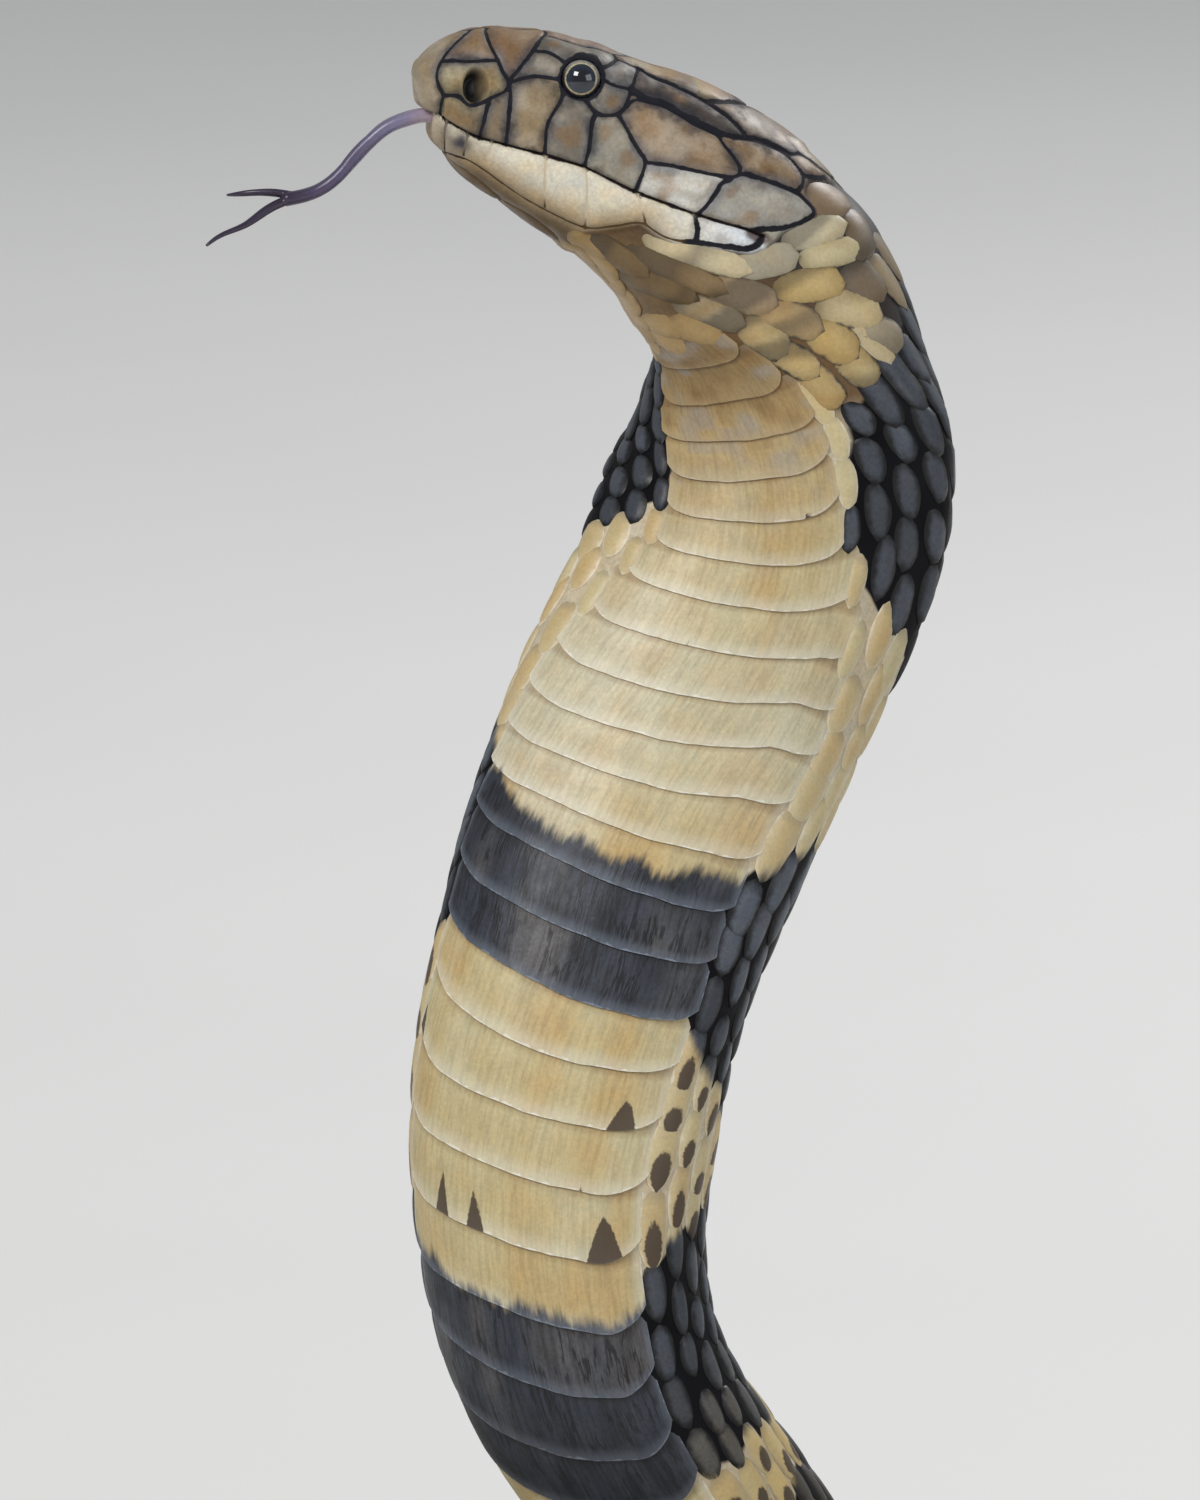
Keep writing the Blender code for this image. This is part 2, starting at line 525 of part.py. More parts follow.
def inset(corners, by):
    """The outline moved in by a width, so that neighbours keep a groove between them."""
    at = np.array(corners, float)
    before, after = at - np.roll(at, 1, axis=0), np.roll(at, -1, axis=0) - at
    turn = np.sign((before[:, 0] * after[:, 1] - before[:, 1] * after[:, 0]).sum())
    normal = unit(np.stack([-before[:, 1], before[:, 0]], -1)) + unit(np.stack([-after[:, 1], after[:, 0]], -1))
    return [tuple(p) for p in at + turn * by * unit(normal)]


def side_shields():
    """Outlines (p, q) of the shields on the left side: both rows of lip shields, and the cheek."""
    found = list(CHEEK)
    for row, tops in ((UPPER_LIP, UPPER_TOP), (LOWER_LIP, {})):
        for number, (front, rear) in enumerate(zip(row, row[1:]), start=1):
            found.append(front + tops.get(number, []) + rear[::-1])
    return [split_long_sides(inset(outline, PLATE_GAP)) for outline in found]


def head_shields(group):
    """All the raised shields of the head, left and right."""
    outlines = [[on_side(p, q) for p, q in outline] for outline in side_shields()]
    outlines += [[on_crown(x, y) for x, y in split_long_sides(inset(o, 0.1))] for o in CROWN]
    for outline in outlines:
        plate(outline, group)
        plate([(x, -turn) for x, turn in reversed(outline)], group)
    half = [on_crown(x, y) for x, y in FRONTAL]
    plate(half + [(x, 2 * math.pi - turn) for x, turn in reversed(half[1:-1])], group)


def head_loft(group, finish):
    """The whole head as one solid, from the snout to behind the jaws."""
    stations = np.concatenate([[-2.1, -1.6, -0.8, 0.4, 1.7, 2.4, 3.0, 4.2], np.arange(6, 31, 2.6), [33, 37, 41, 45,
                              49, 53, 57, HEAD_END - CUT / 2]])
    turns = np.linspace(-math.pi, math.pi, 33)[:-1]
    count = len(turns)
    points = [p for s in stations for p in skin(np.full(count, s), turns)]
    faces = []
    for i in range(len(stations) - 1):
        for j in range(count):
            k = (j + 1) % count
            a, b = i * count, (i + 1) * count
            faces.append((a + j, b + j, b + k, a + k))
    faces.append(list(range(count)))
    faces.append([len(points) - 1 - j for j in range(count)])
    return loft_object("head", points, faces, group, finish)


def head_matrix():
    """Turns local x, y, z (millimetres) into back, up and left from the head's origin."""
    turn = Matrix([HEAD_BACK, HEAD_UP, HEAD_LEFT]).transposed().to_4x4()
    return Matrix.Translation(Vector(in_head(0, 0, 0)) * MM) @ turn @ Matrix.Scale(MM, 4)


def mouth_cutter(group):
    """A thin bent wall along the line of the mouth, then down behind the jaw."""
    line = [(x, z) for x, z in LIP_CUT]
    half = LIP_CUT_WIDTH / 2
    end_x, end_z = line[-1]
    upper = [(x, z + half) for x, z in line[:-1]] + [(end_x + half, end_z + half)]
    lower = [(x, z - half) for x, z in line[:-1]] + [(end_x - half, end_z - half)]
    foot = (end_x - 7.5, -34.0)
    outline = upper + [(foot[0] + half, foot[1]), (foot[0] - half, foot[1])] + lower[::-1]
    curve = bpy.data.curves.new("mouth_cutter", "CURVE")
    curve.dimensions = "2D"
    curve.fill_mode = "BOTH"
    curve.extrude = 32.0
    spline_ = curve.splines.new("POLY")
    spline_.points.add(len(outline) - 1)
    for point, (x, z) in zip(spline_.points, outline):
        point.co = (x, z, 0, 1)
    spline_.use_cyclic_u = True
    flat = bpy.data.objects.new("mouth_curve", curve)
    group.objects.link(flat)
    flat.matrix_world = head_matrix()
    return as_mesh(flat, group, "mouth_cutter")


def as_mesh(curve_object, group, name):
    """The curve as a closed mesh in the same place. The curve goes."""
    mesh = evaluated_mesh(curve_object)
    bm = bmesh.new()
    bm.from_mesh(mesh)
    bm.transform(curve_object.matrix_world)
    bmesh.ops.remove_doubles(bm, verts=bm.verts, dist=0.001 * MM)
    bmesh.ops.recalc_face_normals(bm, faces=bm.faces)
    bm.to_mesh(mesh)
    bm.free()
    made = bpy.data.objects.new(name, mesh)
    group.objects.link(made)
    bpy.data.objects.remove(curve_object)
    return made


def ball(name, at, radius, group, segments, rings, stretch=(1, 1, 1), turn=None):
    """A ball of the radius about a place, stretched along its own axes and then turned."""
    bm = bmesh.new()
    bmesh.ops.create_uvsphere(bm, u_segments=segments, v_segments=rings, radius=radius * MM)
    matrix = Matrix.Diagonal((*stretch, 1))
    if turn is not None:
        matrix = turn @ matrix
    bm.transform(Matrix.Translation(Vector(at) * MM) @ matrix)
    mesh = bpy.data.meshes.new(name)
    bm.to_mesh(mesh)
    bm.free()
    obj = bpy.data.objects.new(name, mesh)
    group.objects.link(obj)
    turn_outward(obj)
    return obj


def eye_centre(side):
    x, turn = on_side(*EYE_AT)
    return skin(x, side * turn, -EYE_DEPTH)


def nostril_cutter(side, group):
    """A slanting oval pit in the nasal shield."""
    x, turn = on_side(*NOSTRIL_AT)
    place = skin(x, side * turn, -0.4)
    tilt = Matrix([HEAD_BACK, HEAD_LEFT, HEAD_UP]).transposed().to_4x4()
    tilt = tilt @ Matrix.Rotation(side * math.radians(20), 4, "Z") @ Matrix.Rotation(math.radians(-18), 4, "Y")
    return ball("nostril", place, 1.0, group, 12, 8, (1.5, 1.9, 2.3), tilt)


def tapered_tube(name, rows, sides, group, samples):
    """A closed tube through the rows (place, half thickness)."""
    places = spline(np.array([r[0] for r in rows]), samples)
    length = np.concatenate([[0], np.cumsum(np.linalg.norm(np.diff([r[0] for r in rows], axis=0), axis=1))])
    along = np.linspace(0, length[-1], samples)
    radius = np.interp(along, length, [r[1] for r in rows])
    way = unit(np.gradient(places, axis=0))
    side_way = unit(np.cross(way, HEAD_UP + 0.3 * HEAD_BACK))
    over = np.cross(side_way, way)
    angle = np.linspace(0, 2 * math.pi, sides + 1)[:-1]
    points, faces = [], []
    for i in range(samples):
        for a in angle:
            points.append(places[i] + radius[i] * (math.cos(a) * side_way[i] * 1.15 + math.sin(a) * over[i] * 0.9))
    for i in range(samples - 1):
        for j in range(sides):
            k = (j + 1) % sides
            faces.append((i * sides + j, i * sides + k, (i + 1) * sides + k, (i + 1) * sides + j))
    faces.append(list(reversed(range(sides))))
    faces.append([(samples - 1) * sides + j for j in range(sides)])
    obj = mesh_object(name, points, faces, group)
    turn_outward(obj)
    return obj


def build_tongue(group, finish):
    stem = [(in_head(x, y, z), r) for x, y, z, r in TONGUE]
    tongue = tapered_tube("tongue", stem, 9, group, 22)
    tines = collection("tines")
    end_x, end_y, end_z, _ = TONGUE[-1]
    for steps in FORK:
        rows = [(in_head(end_x + 1.6, end_y, end_z + 0.9), 0.8)]  # each tine's root lies inside the stem
        rows += [(in_head(end_x + x, end_y + y, end_z + z), r) for x, y, z, r in steps]
        tapered_tube("tine", rows, 7, tines, 9)
    boolean(tongue, tines, "UNION")
    tongue.data.materials.clear()
    tongue.data.materials.append(finish)
    shade(tongue)


def tongue_tunnel(group):
    """The room for the tongue's root: the gap wider than the root all round and at its end."""
    rows = [(in_head(x, y, z), r + CUT * 1.3) for x, y, z, r in TONGUE[:4]]
    x, y, z, _ = TONGUE[0]
    rows[0] = (in_head(x + CUT, y, z), rows[0][1])
    return tapered_tube("tunnel", rows, 10, group, 12)


def build_head(group, finishes):
    whole = head_loft(group, finishes["crown_brown"])
    shields = collection("shields")
    head_shields(shields)
    boolean(whole, shields, "UNION")
    cutters = collection("head_cutters")
    mouth_cutter(cutters)
    tongue_tunnel(cutters)
    for side in (1, -1):
        ball("socket", eye_centre(side), EYE_RADIUS + CUT, cutters, 18, 12)
        nostril_cutter(side, cutters)
    boolean(whole, cutters, "DIFFERENCE")
    (upper, jaw) = shells(whole)[:2]
    bpy.data.objects.remove(whole)
    for name, (points, faces), finish in (("head", upper, "crown_brown"), ("lower_jaw", jaw, "lip_cream")):
        shade(mesh_object(name, points, faces, group, finishes[finish]))
    for name, side in (("eye_left", 1), ("eye_right", -1)):
        eye = ball(name, eye_centre(side), EYE_RADIUS, group, 16, 10)
        eye.data.materials.append(finishes["eye"])
        shade(eye)


def build_body(group, finishes):
    start = HEAD_END
    for name, end, back_parts in LENGTHS:
        stop = TAIL_TIP if end is None else end - CUT / 2
        finish = "belly_yellow" if name in ("hood", "forebody") else "back_black"
        body_length(name, start + CUT / 2, stop, back_parts, group, finishes[finish])
        start = end


def main():
    clear_scene()
    cobra = collection("king_cobra")
    finishes = {name: material(name) for name in COLOURS}
    build_head(cobra, finishes)
    build_tongue(cobra, finishes["tongue"])
    build_body(cobra, finishes)


main()
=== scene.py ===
# %% [markdown]
# # A king cobra, reared up
# A king cobra lifts the front third of its body, spreads a narrow hood and tastes the air with its forked
# tongue. This lesson dresses a solid model of it, life size, as a still museum model. The solids come ready,
# in metres, and stay where they are. One skin takes their place, and every scale is a small solid piece laid
# over that skin in the order in which the scales of a real snake grow.

import json
import math

import bmesh
import bpy
import numpy as np
from mathutils import Matrix, Vector
from mathutils.kdtree import KDTree

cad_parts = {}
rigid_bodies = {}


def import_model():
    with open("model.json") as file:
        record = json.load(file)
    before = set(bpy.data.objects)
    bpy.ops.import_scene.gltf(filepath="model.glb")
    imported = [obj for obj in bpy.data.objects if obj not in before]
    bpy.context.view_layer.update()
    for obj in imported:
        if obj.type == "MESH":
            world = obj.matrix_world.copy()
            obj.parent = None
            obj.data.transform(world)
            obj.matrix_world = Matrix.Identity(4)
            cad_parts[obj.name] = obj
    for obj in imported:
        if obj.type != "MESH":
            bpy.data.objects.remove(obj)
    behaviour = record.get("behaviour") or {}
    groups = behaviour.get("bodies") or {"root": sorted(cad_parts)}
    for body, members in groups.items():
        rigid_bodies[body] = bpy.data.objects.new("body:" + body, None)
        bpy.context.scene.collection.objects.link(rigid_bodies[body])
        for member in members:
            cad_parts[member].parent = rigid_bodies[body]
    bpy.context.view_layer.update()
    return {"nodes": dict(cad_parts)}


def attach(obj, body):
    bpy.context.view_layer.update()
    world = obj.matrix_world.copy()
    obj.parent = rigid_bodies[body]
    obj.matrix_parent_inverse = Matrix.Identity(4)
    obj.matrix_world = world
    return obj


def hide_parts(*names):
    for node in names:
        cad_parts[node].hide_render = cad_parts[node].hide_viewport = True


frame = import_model()
MM = 0.001
print("solids:", ", ".join(sorted(frame["nodes"])))

# %% [markdown]
# ## The animal's own measures
# The skin has to lie just inside the solids, so it is drawn from the same measures: where the spine runs, and
# how wide, how deep and how boxy the body is at each distance along it. Distances start at the snout and are
# in millimetres. A modeller could also shrink-wrap a net onto the solids, but then the net would copy their
# flat faces. Drawing it anew from the measures gives a smooth surface that fits them exactly.

# %% Measures of the spine and the body
PLAN_CENTRE = np.array([53.05, 137.43, 0.0])  # middle of the whole animal, as seen from above
HEAD_AT = np.array([-26.1, 11.5, 313.0])
HEAD_PITCH, HEAD_YAW = math.radians(20.0), math.radians(11.0)
SNOUT, BEND_START, BEND_RADIUS, BEND_ANGLE = -2.1, 37.0, 30.5, math.radians(71.0)
RAISED = [  # the spine from the nape down to where it nears the floor
    (27.7, 21.5, 263.9), (26.3, 20.0, 255.5), (23.2, 18.0, 245.4), (18.2, 15.5, 234.3), (12.5, 12.5, 223.0),
    (7.4, 9.5, 211.2), (2.9, 6.5, 199.7), (-0.8, 4.0, 188.3), (-3.6, 2.0, 177.0), (-5.1, 0.5, 165.6),
    (-5.7, -0.5, 154.2), (-5.0, -0.5, 144.1), (-2.8, 0.5, 133.7), (1.0, 2.5, 124.7), (6.6, 6.0, 115.7),
    (13.4, 11.0, 106.1), (26.0, 20.5, 86.0), (44.0, 34.0, 64.0), (68.0, 52.0, 44.0), (98.0, 71.0, 29.5),
]
FLOOR_PATH = [  # the coil, seen from above
    (130, 91), (160, 117), (182, 152), (190, 195), (180, 240), (150, 277), (100, 297), (40, 296), (-18, 274),
    (-64, 237), (-94, 188), (-107, 132), (-104, 72), (-84, 16), (-44, -34), (12, -66), (78, -78), (144, -66),
    (202, -30), (246, 22), (272, 85), (279, 152), (269, 220), (239, 284), (189, 331), (125, 356), (55, 359),
    (-14, 345), (-76, 318), (-126, 275), (-160, 220), (-180, 160), (-187, 104), (-178, 50), (-156, 4),
]
REST = 0.93  # share of the belly's depth that is left where it is pressed on the floor
BELLY_TURN = [  # the way that the belly faces, in degrees, as the neck twists
    (37, 79), (50, 70), (60, 57), (75, 34), (84, 25), (97, 9), (112, 3), (127, 6), (141, 12), (153, 13),
    (166, 9), (178, 12), (201, 22), (216, 25), (231, 34), (252, 40), (280, 48), (340, 52),
]
BELLY_DOWN = (248.0, 330.0)  # where the belly turns to the floor
HALF_WIDTH = [
    (-2.1, 2.4), (-1.5, 4.4), (0, 6.4), (2, 7.7), (5, 8.9), (8, 9.8), (12, 10.8), (16, 11.9), (20, 13.0),
    (25, 14.3), (30, 15.8), (36, 17.5), (42, 18.8), (48, 19.4), (54, 19.1), (60, 19.2), (66, 20.1), (72, 22.1),
    (78, 24.6), (84, 25.9), (91, 26.1), (101, 25.9), (114, 25.5), (127, 25.6), (140, 25.4), (153, 24.7),
    (165, 23.6),
    (189, 22.9), (201, 22.0), (211, 21.1), (231, 19.9), (252, 18.7), (320, 19.5), (450, 21.5), (700, 23.0),
    (1000, 23.5), (1400, 22.5), (1750, 19.0), (2000, 15.0), (2200, 11.0), (2400, 6.0), (2460, 3.9), (2490, 2.0),
    (2500, 0.9),
]
BACK = [  # height over the axis
    (-2.1, 5.9), (-1.5, 7.1), (0, 9.4), (1.8, 11.1), (3.6, 12.4), (5.1, 13.2), (7.2, 13.9), (9.2, 14.3),
    (11.3, 15.0), (13.4, 15.6), (17.5, 15.9), (22.6, 16.3), (29, 16.0), (37, 16.3), (45, 15.9), (53, 15.7),
    (60, 17.3), (68, 16.9), (75, 16.3), (82, 15.2), (91, 14.0), (101, 13.5), (127, 14.2), (153, 15.2),
    (189, 16.6), (231, 17.2), (320, 18.0), (450, 20.0), (700, 21.5), (1000, 22.0), (1400, 21.0), (1750, 18.0),
    (2000, 14.4), (2200, 10.6), (2400, 5.8), (2460, 3.8), (2490, 2.0), (2500, 0.9),
]
BELLY = [  # depth under the axis
    (-2.1, -3.6), (-1.1, -1.5), (-0.2, 0.0), (1.9, 0.9), (2.5, 2.4), (3.0, 3.7), (5, 5.0), (8.7, 7.3),
    (12.3, 8.6), (15.4, 9.3), (20.5, 10.8), (25.7, 12.2), (31, 14.1), (37, 16.8), (45, 19.0), (53, 19.6),
    (61, 19.4), (68, 18.6), (75, 17.4), (82, 16.6), (91, 15.6), (101, 15.0), (127, 15.4), (153, 16.6),
    (189, 17.4), (252, 17.2), (320, 18.0), (450, 19.5), (700, 20.8), (1000, 21.2), (1400, 20.2), (1750, 17.4),
    (2000, 14.0), (2200, 10.4), (2400, 5.8), (2460, 3.8), (2490, 2.0), (2500, 0.9),
]
WIDEST = [(-2.1, 5.0), (0, 4.0), (2, 3.1), (8, 1.4), (15, 0.5), (22, 0.0), (2575, 0.0)]  # how high that is
BOX_UP = [(-2.1, 0.85), (3, 0.76), (25, 0.74), (45, 0.84), (65, 0.95), (101, 1.05), (160, 0.98), (2575, 1.0)]
BOX_DOWN = [
    (-2.1, 0.9), (5, 0.9), (45, 0.92), (70, 1.0), (84, 1.35), (100, 1.6), (116, 1.45), (135, 1.1), (160, 0.94),
    (260, 0.95), (2575, 1.0),
]
FLOOR_START = 345.0  # from here on the body lies flat
print("measured stations of the body's width:", len(HALF_WIDTH))


# %% Smooth curves through the measures
def smooth(rows):
    """A function that runs through the rows (x, value) without overshooting."""
    x, y = np.array(rows, float).T
    step = np.diff(x)
    slope = np.diff(y) / step
    tilt = np.zeros(len(x))
    tilt[[0, -1]] = slope[[0, -1]]
    for i in range(1, len(x) - 1):
        if slope[i - 1] * slope[i] > 0:
            w1, w2 = 2 * step[i] + step[i - 1], step[i] + 2 * step[i - 1]
            tilt[i] = (w1 + w2) / (w1 / slope[i - 1] + w2 / slope[i])

    def value(at):
        at = np.clip(at, x[0], x[-1])
        i = np.clip(np.searchsorted(x, at, side="right") - 1, 0, len(x) - 2)
        t = (at - x[i]) / step[i]
        start = (1 + 2 * t) * (1 - t) ** 2 * y[i] + t * (1 - t) ** 2 * step[i] * tilt[i]
        return start + t * t * (3 - 2 * t) * y[i + 1] + t * t * (t - 1) * step[i] * tilt[i + 1]

    return value


def on_rows(rows, x):
    """Straight lines from one row (x, value) to the next."""
    return np.interp(x, *np.array(rows).T)


def unit(v):
    return v / np.linalg.norm(v, axis=-1, keepdims=True)


def run_of(points):
    """How far each point lies along the line through them all."""
    return np.concatenate([[0], np.cumsum(np.linalg.norm(np.diff(points, axis=0), axis=1))])


def ease(low, high, x):
    """0 below low, 1 above high, and a soft step between."""
    t = np.clip((np.asarray(x, float) - low) / (high - low), 0, 1)
    return t * t * (3 - 2 * t)


half_width, back, belly, widest = map(smooth, (HALF_WIDTH, BACK, BELLY, WIDEST))
box_up, box_down, belly_turn = map(smooth, (BOX_UP, BOX_DOWN, BELLY_TURN))
HEAD_BACK = np.array([
    math.cos(HEAD_YAW) * math.cos(HEAD_PITCH), math.sin(HEAD_YAW) * math.cos(HEAD_PITCH), -math.sin(HEAD_PITCH),
])
HEAD_LEFT = np.array([math.sin(HEAD_YAW), -math.cos(HEAD_YAW), 0.0])
HEAD_UP = np.cross(-HEAD_BACK, HEAD_LEFT)
HEAD_AXES = np.array([HEAD_BACK, HEAD_LEFT, HEAD_UP])


def in_head(x, y, z):
    """Place of a point x back from the head's origin, y to its left and z up."""
    return HEAD_AT - PLAN_CENTRE + x * HEAD_BACK + y * HEAD_LEFT + z * HEAD_UP


def spline(points, count):
    """Points on the smoothest curve through the given ones, by the length of the chords."""
    knots = run_of(points)
    h = np.diff(knots)
    n = len(points)
    system, right = np.eye(n), np.zeros((n, 3))
    for i in range(1, n - 1):
        system[i, i - 1 : i + 2] = h[i - 1], 2 * (h[i - 1] + h[i]), h[i]
        right[i] = 6 * ((points[i + 1] - points[i]) / h[i] - (points[i] - points[i - 1]) / h[i - 1])
    bend = np.linalg.solve(system, right)
    at = np.linspace(0, knots[-1], count)
    i = np.clip(np.searchsorted(knots, at, side="right") - 1, 0, n - 2)
    a, b = ((knots[i + 1] - at) / h[i])[:, None], ((at - knots[i]) / h[i])[:, None]
    hh = (h[i] ** 2)[:, None]
    return a * points[i] + b * points[i + 1] + ((a**3 - a) * bend[i] + (b**3 - b) * bend[i + 1]) * hh / 6


SPARE = 4.0  # the spine is drawn a little past the snout


def spine_points():
    """The axis of the skull, the bend of the nape, the raised neck and the coil on the floor."""
    points = [in_head(x, 0, 0) for x in np.linspace(SNOUT - SPARE, BEND_START, 12)]
    for turn in np.linspace(0, BEND_ANGLE, 8)[1:]:
        points.append(in_head(BEND_START + BEND_RADIUS * math.sin(turn), 0, BEND_RADIUS * (math.cos(turn) - 1)))
    points += [np.array(p) - PLAN_CENTRE for p in RAISED]
    along = SNOUT - SPARE + np.linalg.norm(np.diff(points, axis=0), axis=1).sum()
    for x, y in FLOOR_PATH:
        place = np.array([x, y, 0]) - PLAN_CENTRE
        along += math.hypot(*(place - points[-1])[:2])
        place[2] = REST * belly(along)
        points.append(place)
    return np.array(points)


SPINE = spline(spine_points(), 9000)
ALONG = SNOUT - SPARE + run_of(SPINE)
TAIL_TIP = ALONG[-1]
TAIL_WAY = unit(np.gradient(SPINE, axis=0))
print(f"snout to tail tip: {TAIL_TIP - SNOUT:.0f} mm")


# %% [markdown]
# ## One section after another
# A cross-section of the neck is a soft box, the spread hood is flat in front with sharp flanks, and the trunk
# is nearly round. One formula with two numbers for the boxiness covers them all, so the outline never jumps.
# Where the body lies on the floor its underside is pressed flat.

# %% The surface as a function of the distance along and the turn round the body
def frames(s):
    """Centre, belly and left directions at the distances s along the spine."""
    s = np.atleast_1d(np.asarray(s, float))
    centre = np.stack([np.interp(s, ALONG, SPINE[:, k]) for k in range(3)], -1)
    tailward = unit(np.stack([np.interp(s, ALONG, TAIL_WAY[:, k]) for k in range(3)], -1))
    turn = np.radians(belly_turn(s))
    raised = np.stack([-np.sin(turn), -np.cos(turn), 0 * turn], -1)
    down = ease(*BELLY_DOWN, s)[:, None]
    hint = raised * (1 - down) + np.array([0, 0, -1.0]) * down
    in_skull = np.clip((s - BEND_START) / 12, 0, 1)[:, None]
    hint = -HEAD_UP * (1 - in_skull) + hint * in_skull
    under = unit(hint - (hint * tailward).sum(-1, keepdims=True) * tailward)
    return centre, under, np.cross(under, tailward)


def bump(s, turn, middle, reach):
    """1 in the middle (distance, degrees) of a soft swelling, and fading to 0 beyond its reach."""
    off = ((s - middle[0]) / reach[0]) ** 2 + ((np.degrees(np.abs(turn)) - middle[1]) / reach[1]) ** 2
    return np.exp(-off * 1.5)


def surface(s, turn, raise_by=0.0):
    """Points of the surface. A turn of 0 is the belly line and pi the back. The snake's left is above 0."""
    s, turn, raise_by = np.broadcast_arrays(np.asarray(s, float), np.asarray(turn, float), raise_by)
    turn = (turn + math.pi) % (2 * math.pi) - math.pi
    centre, under, left = frames(s.ravel())
    centre, under, left = (v.reshape(s.shape + (3,)) for v in (centre, under, left))
    up = np.cos(turn) < 0
    power = np.where(up, box_up(s), box_down(s))
    aside = np.abs(np.sin(turn)) ** np.where(up, power, np.minimum(power, 1))
    side = half_width(s) * np.sign(np.sin(turn)) * aside
    rise = np.where(up, back(s) - widest(s), belly(s) + widest(s)) * np.abs(np.cos(turn)) ** power
    rise = np.where(up, -rise, rise)
    swell = 0.9 * bump(s, turn, (19.0, 140), (5.5, 16)) + 0.5 * bump(s, turn, (22, 98), (26, 8))
    swell = swell + 0.9 * bump(s, turn, (46, 108), (9, 22)) - 0.5 * bump(s, turn, (13.5, 128), (4.5, 18))
    raise_by = raise_by + swell
    out = unit(np.stack([side, rise], -1) + 1e-9)
    place = centre + left * (side + out[..., 0] * raise_by)[..., None]
    return place + under * (rise - widest(s) + out[..., 1] * raise_by)[..., None]


print("the back's highest point over the floor:", round(float(surface(20.0, math.pi)[2]), 1), "mm")

# %% [markdown]
# ## Even spacing round the body
# The formula crowds its points at the corners of a section. Scales, however, are spaced evenly along the skin,
# as on a real snake. So each section is measured once with a tape, and from here on a place on the skin is
# (distance along, share of the way round): 0 is the belly line, 0.25 the left flank and 0.5 the back. Where the
# neck stands up and twists, the rows of scutes and scales lie askew and a little bowed, like a scarf that has
# been pulled on one side. Two curves say by how much, and what lies on the skin is shifted with them.

# %% A tape measure round each section
SHARES = np.linspace(0, 1, 241)
STATIONS = np.concatenate([
    np.arange(SNOUT, 70, 0.5), np.arange(70, 350, 3.0), np.arange(350, TAIL_TIP, 9.0), [TAIL_TIP],
])


def tape():
    """For every station the turns at the even shares of its girth, and the girth."""
    turns = np.linspace(0, 2 * math.pi, 1441)
    ring = surface(STATIONS[:, None], turns[None, :])
    steps = np.linalg.norm(np.diff(ring, axis=1), axis=2)
    gone = np.concatenate([np.zeros((len(ring), 1)), np.cumsum(steps, 1)], 1)
    return np.array([np.interp(SHARES, row / row[-1], turns) for row in gone]), gone[:, -1]


TURNS, GIRTHS = tape()


def girth(s):
    """The way round the body at the distances s."""
    return np.interp(s, STATIONS, GIRTHS)


BELLY_SHIFT = [
    (60, 0), (80, -0.010), (120, -0.014), (150, -0.024), (185, -0.026), (212, -0.016), (240, -0.008), (320, 0),
    (2500, 0),
]
TILT_ROWS = [
    (44, 0), (60, -1.0), (72, -3.0), (85, -5.0), (119, -5.4), (127, -4.4), (140, -1.2), (154, 1.8), (163, 2.0),
    (171, 3.2), (185, 3.5), (199, 4.2), (206, 4.8), (214, 6.4), (230, 6.9), (250, 5.5), (285, 2.0), (330, 0),
    (2500, 0),
]
BOW_ROWS = [
    (44, 0), (60, -2.0), (85, -3.2), (104, -2.5), (120, -3.2), (127, -3.4), (140, -2.4), (154, -1.8), (171, -2.6),
    (185, -2.0), (199, -0.9), (214, -0.7), (230, -0.6), (260, 0), (2500, 0),
]
belly_shift, tilt_of_rows, bow_of_rows = map(smooth, (BELLY_SHIFT, TILT_ROWS, BOW_ROWS))


def chart_s(s, share):
    """The distance at which a place counts on the charts. The scutes of the raised part lie askew and bowed."""
    aside = (np.asarray(share, float) + 0.5) % 1.0 - 0.5
    x = np.clip(aside / 0.15, -1.1, 0.85)
    return s - (tilt_of_rows(s) * x + bow_of_rows(s) * x * x) * ease(0.48, 0.16, np.abs(aside))


def turn_at(s, share):
    """The turn round the body at a share of the way round it. On the raised part the scutes lie a little aside."""
    s, share = np.broadcast_arrays(np.asarray(s, float), np.asarray(share, float))
    share = share + belly_shift(s)
    whole = np.floor(share)
    x = (share - whole) * (len(SHARES) - 1)
    i = np.clip(np.searchsorted(STATIONS, s, side="right") - 1, 0, len(STATIONS) - 2)
    j = np.clip(x.astype(int), 0, len(SHARES) - 2)
    a = np.clip((s - STATIONS[i]) / (STATIONS[i + 1] - STATIONS[i]), 0, 1)
    b = x - j
    low = TURNS[i, j] * (1 - b) + TURNS[i, j + 1] * b
    high = TURNS[i + 1, j] * (1 - b) + TURNS[i + 1, j + 1] * b
    return low * (1 - a) + high * a + whole * 2 * math.pi


def share_of_turn(s, turn):
    """The share of the way round at which a turn (0 to pi) lies, for a list of distances."""
    at = [np.interp(turn_, TURNS[i], SHARES) for i, turn_ in zip(np.searchsorted(STATIONS, s) - 1, turn)]
    return np.array(at)


print("girth of the neck, the hood and the trunk:", [round(float(girth(s))) for s in (60, 100, 900)], "mm")

# %% [markdown]
# ## Soft randomness
# Nothing on an animal repeats exactly. Colour edges run ragged and each shield has its own shade. Numbers
# drawn once on a small table, and blended between its cells, give the same soft unevenness on every run.

# %% Blended random numbers, and mixing of colours
NOISE_TABLE = np.random.default_rng(11).random((256, 256))


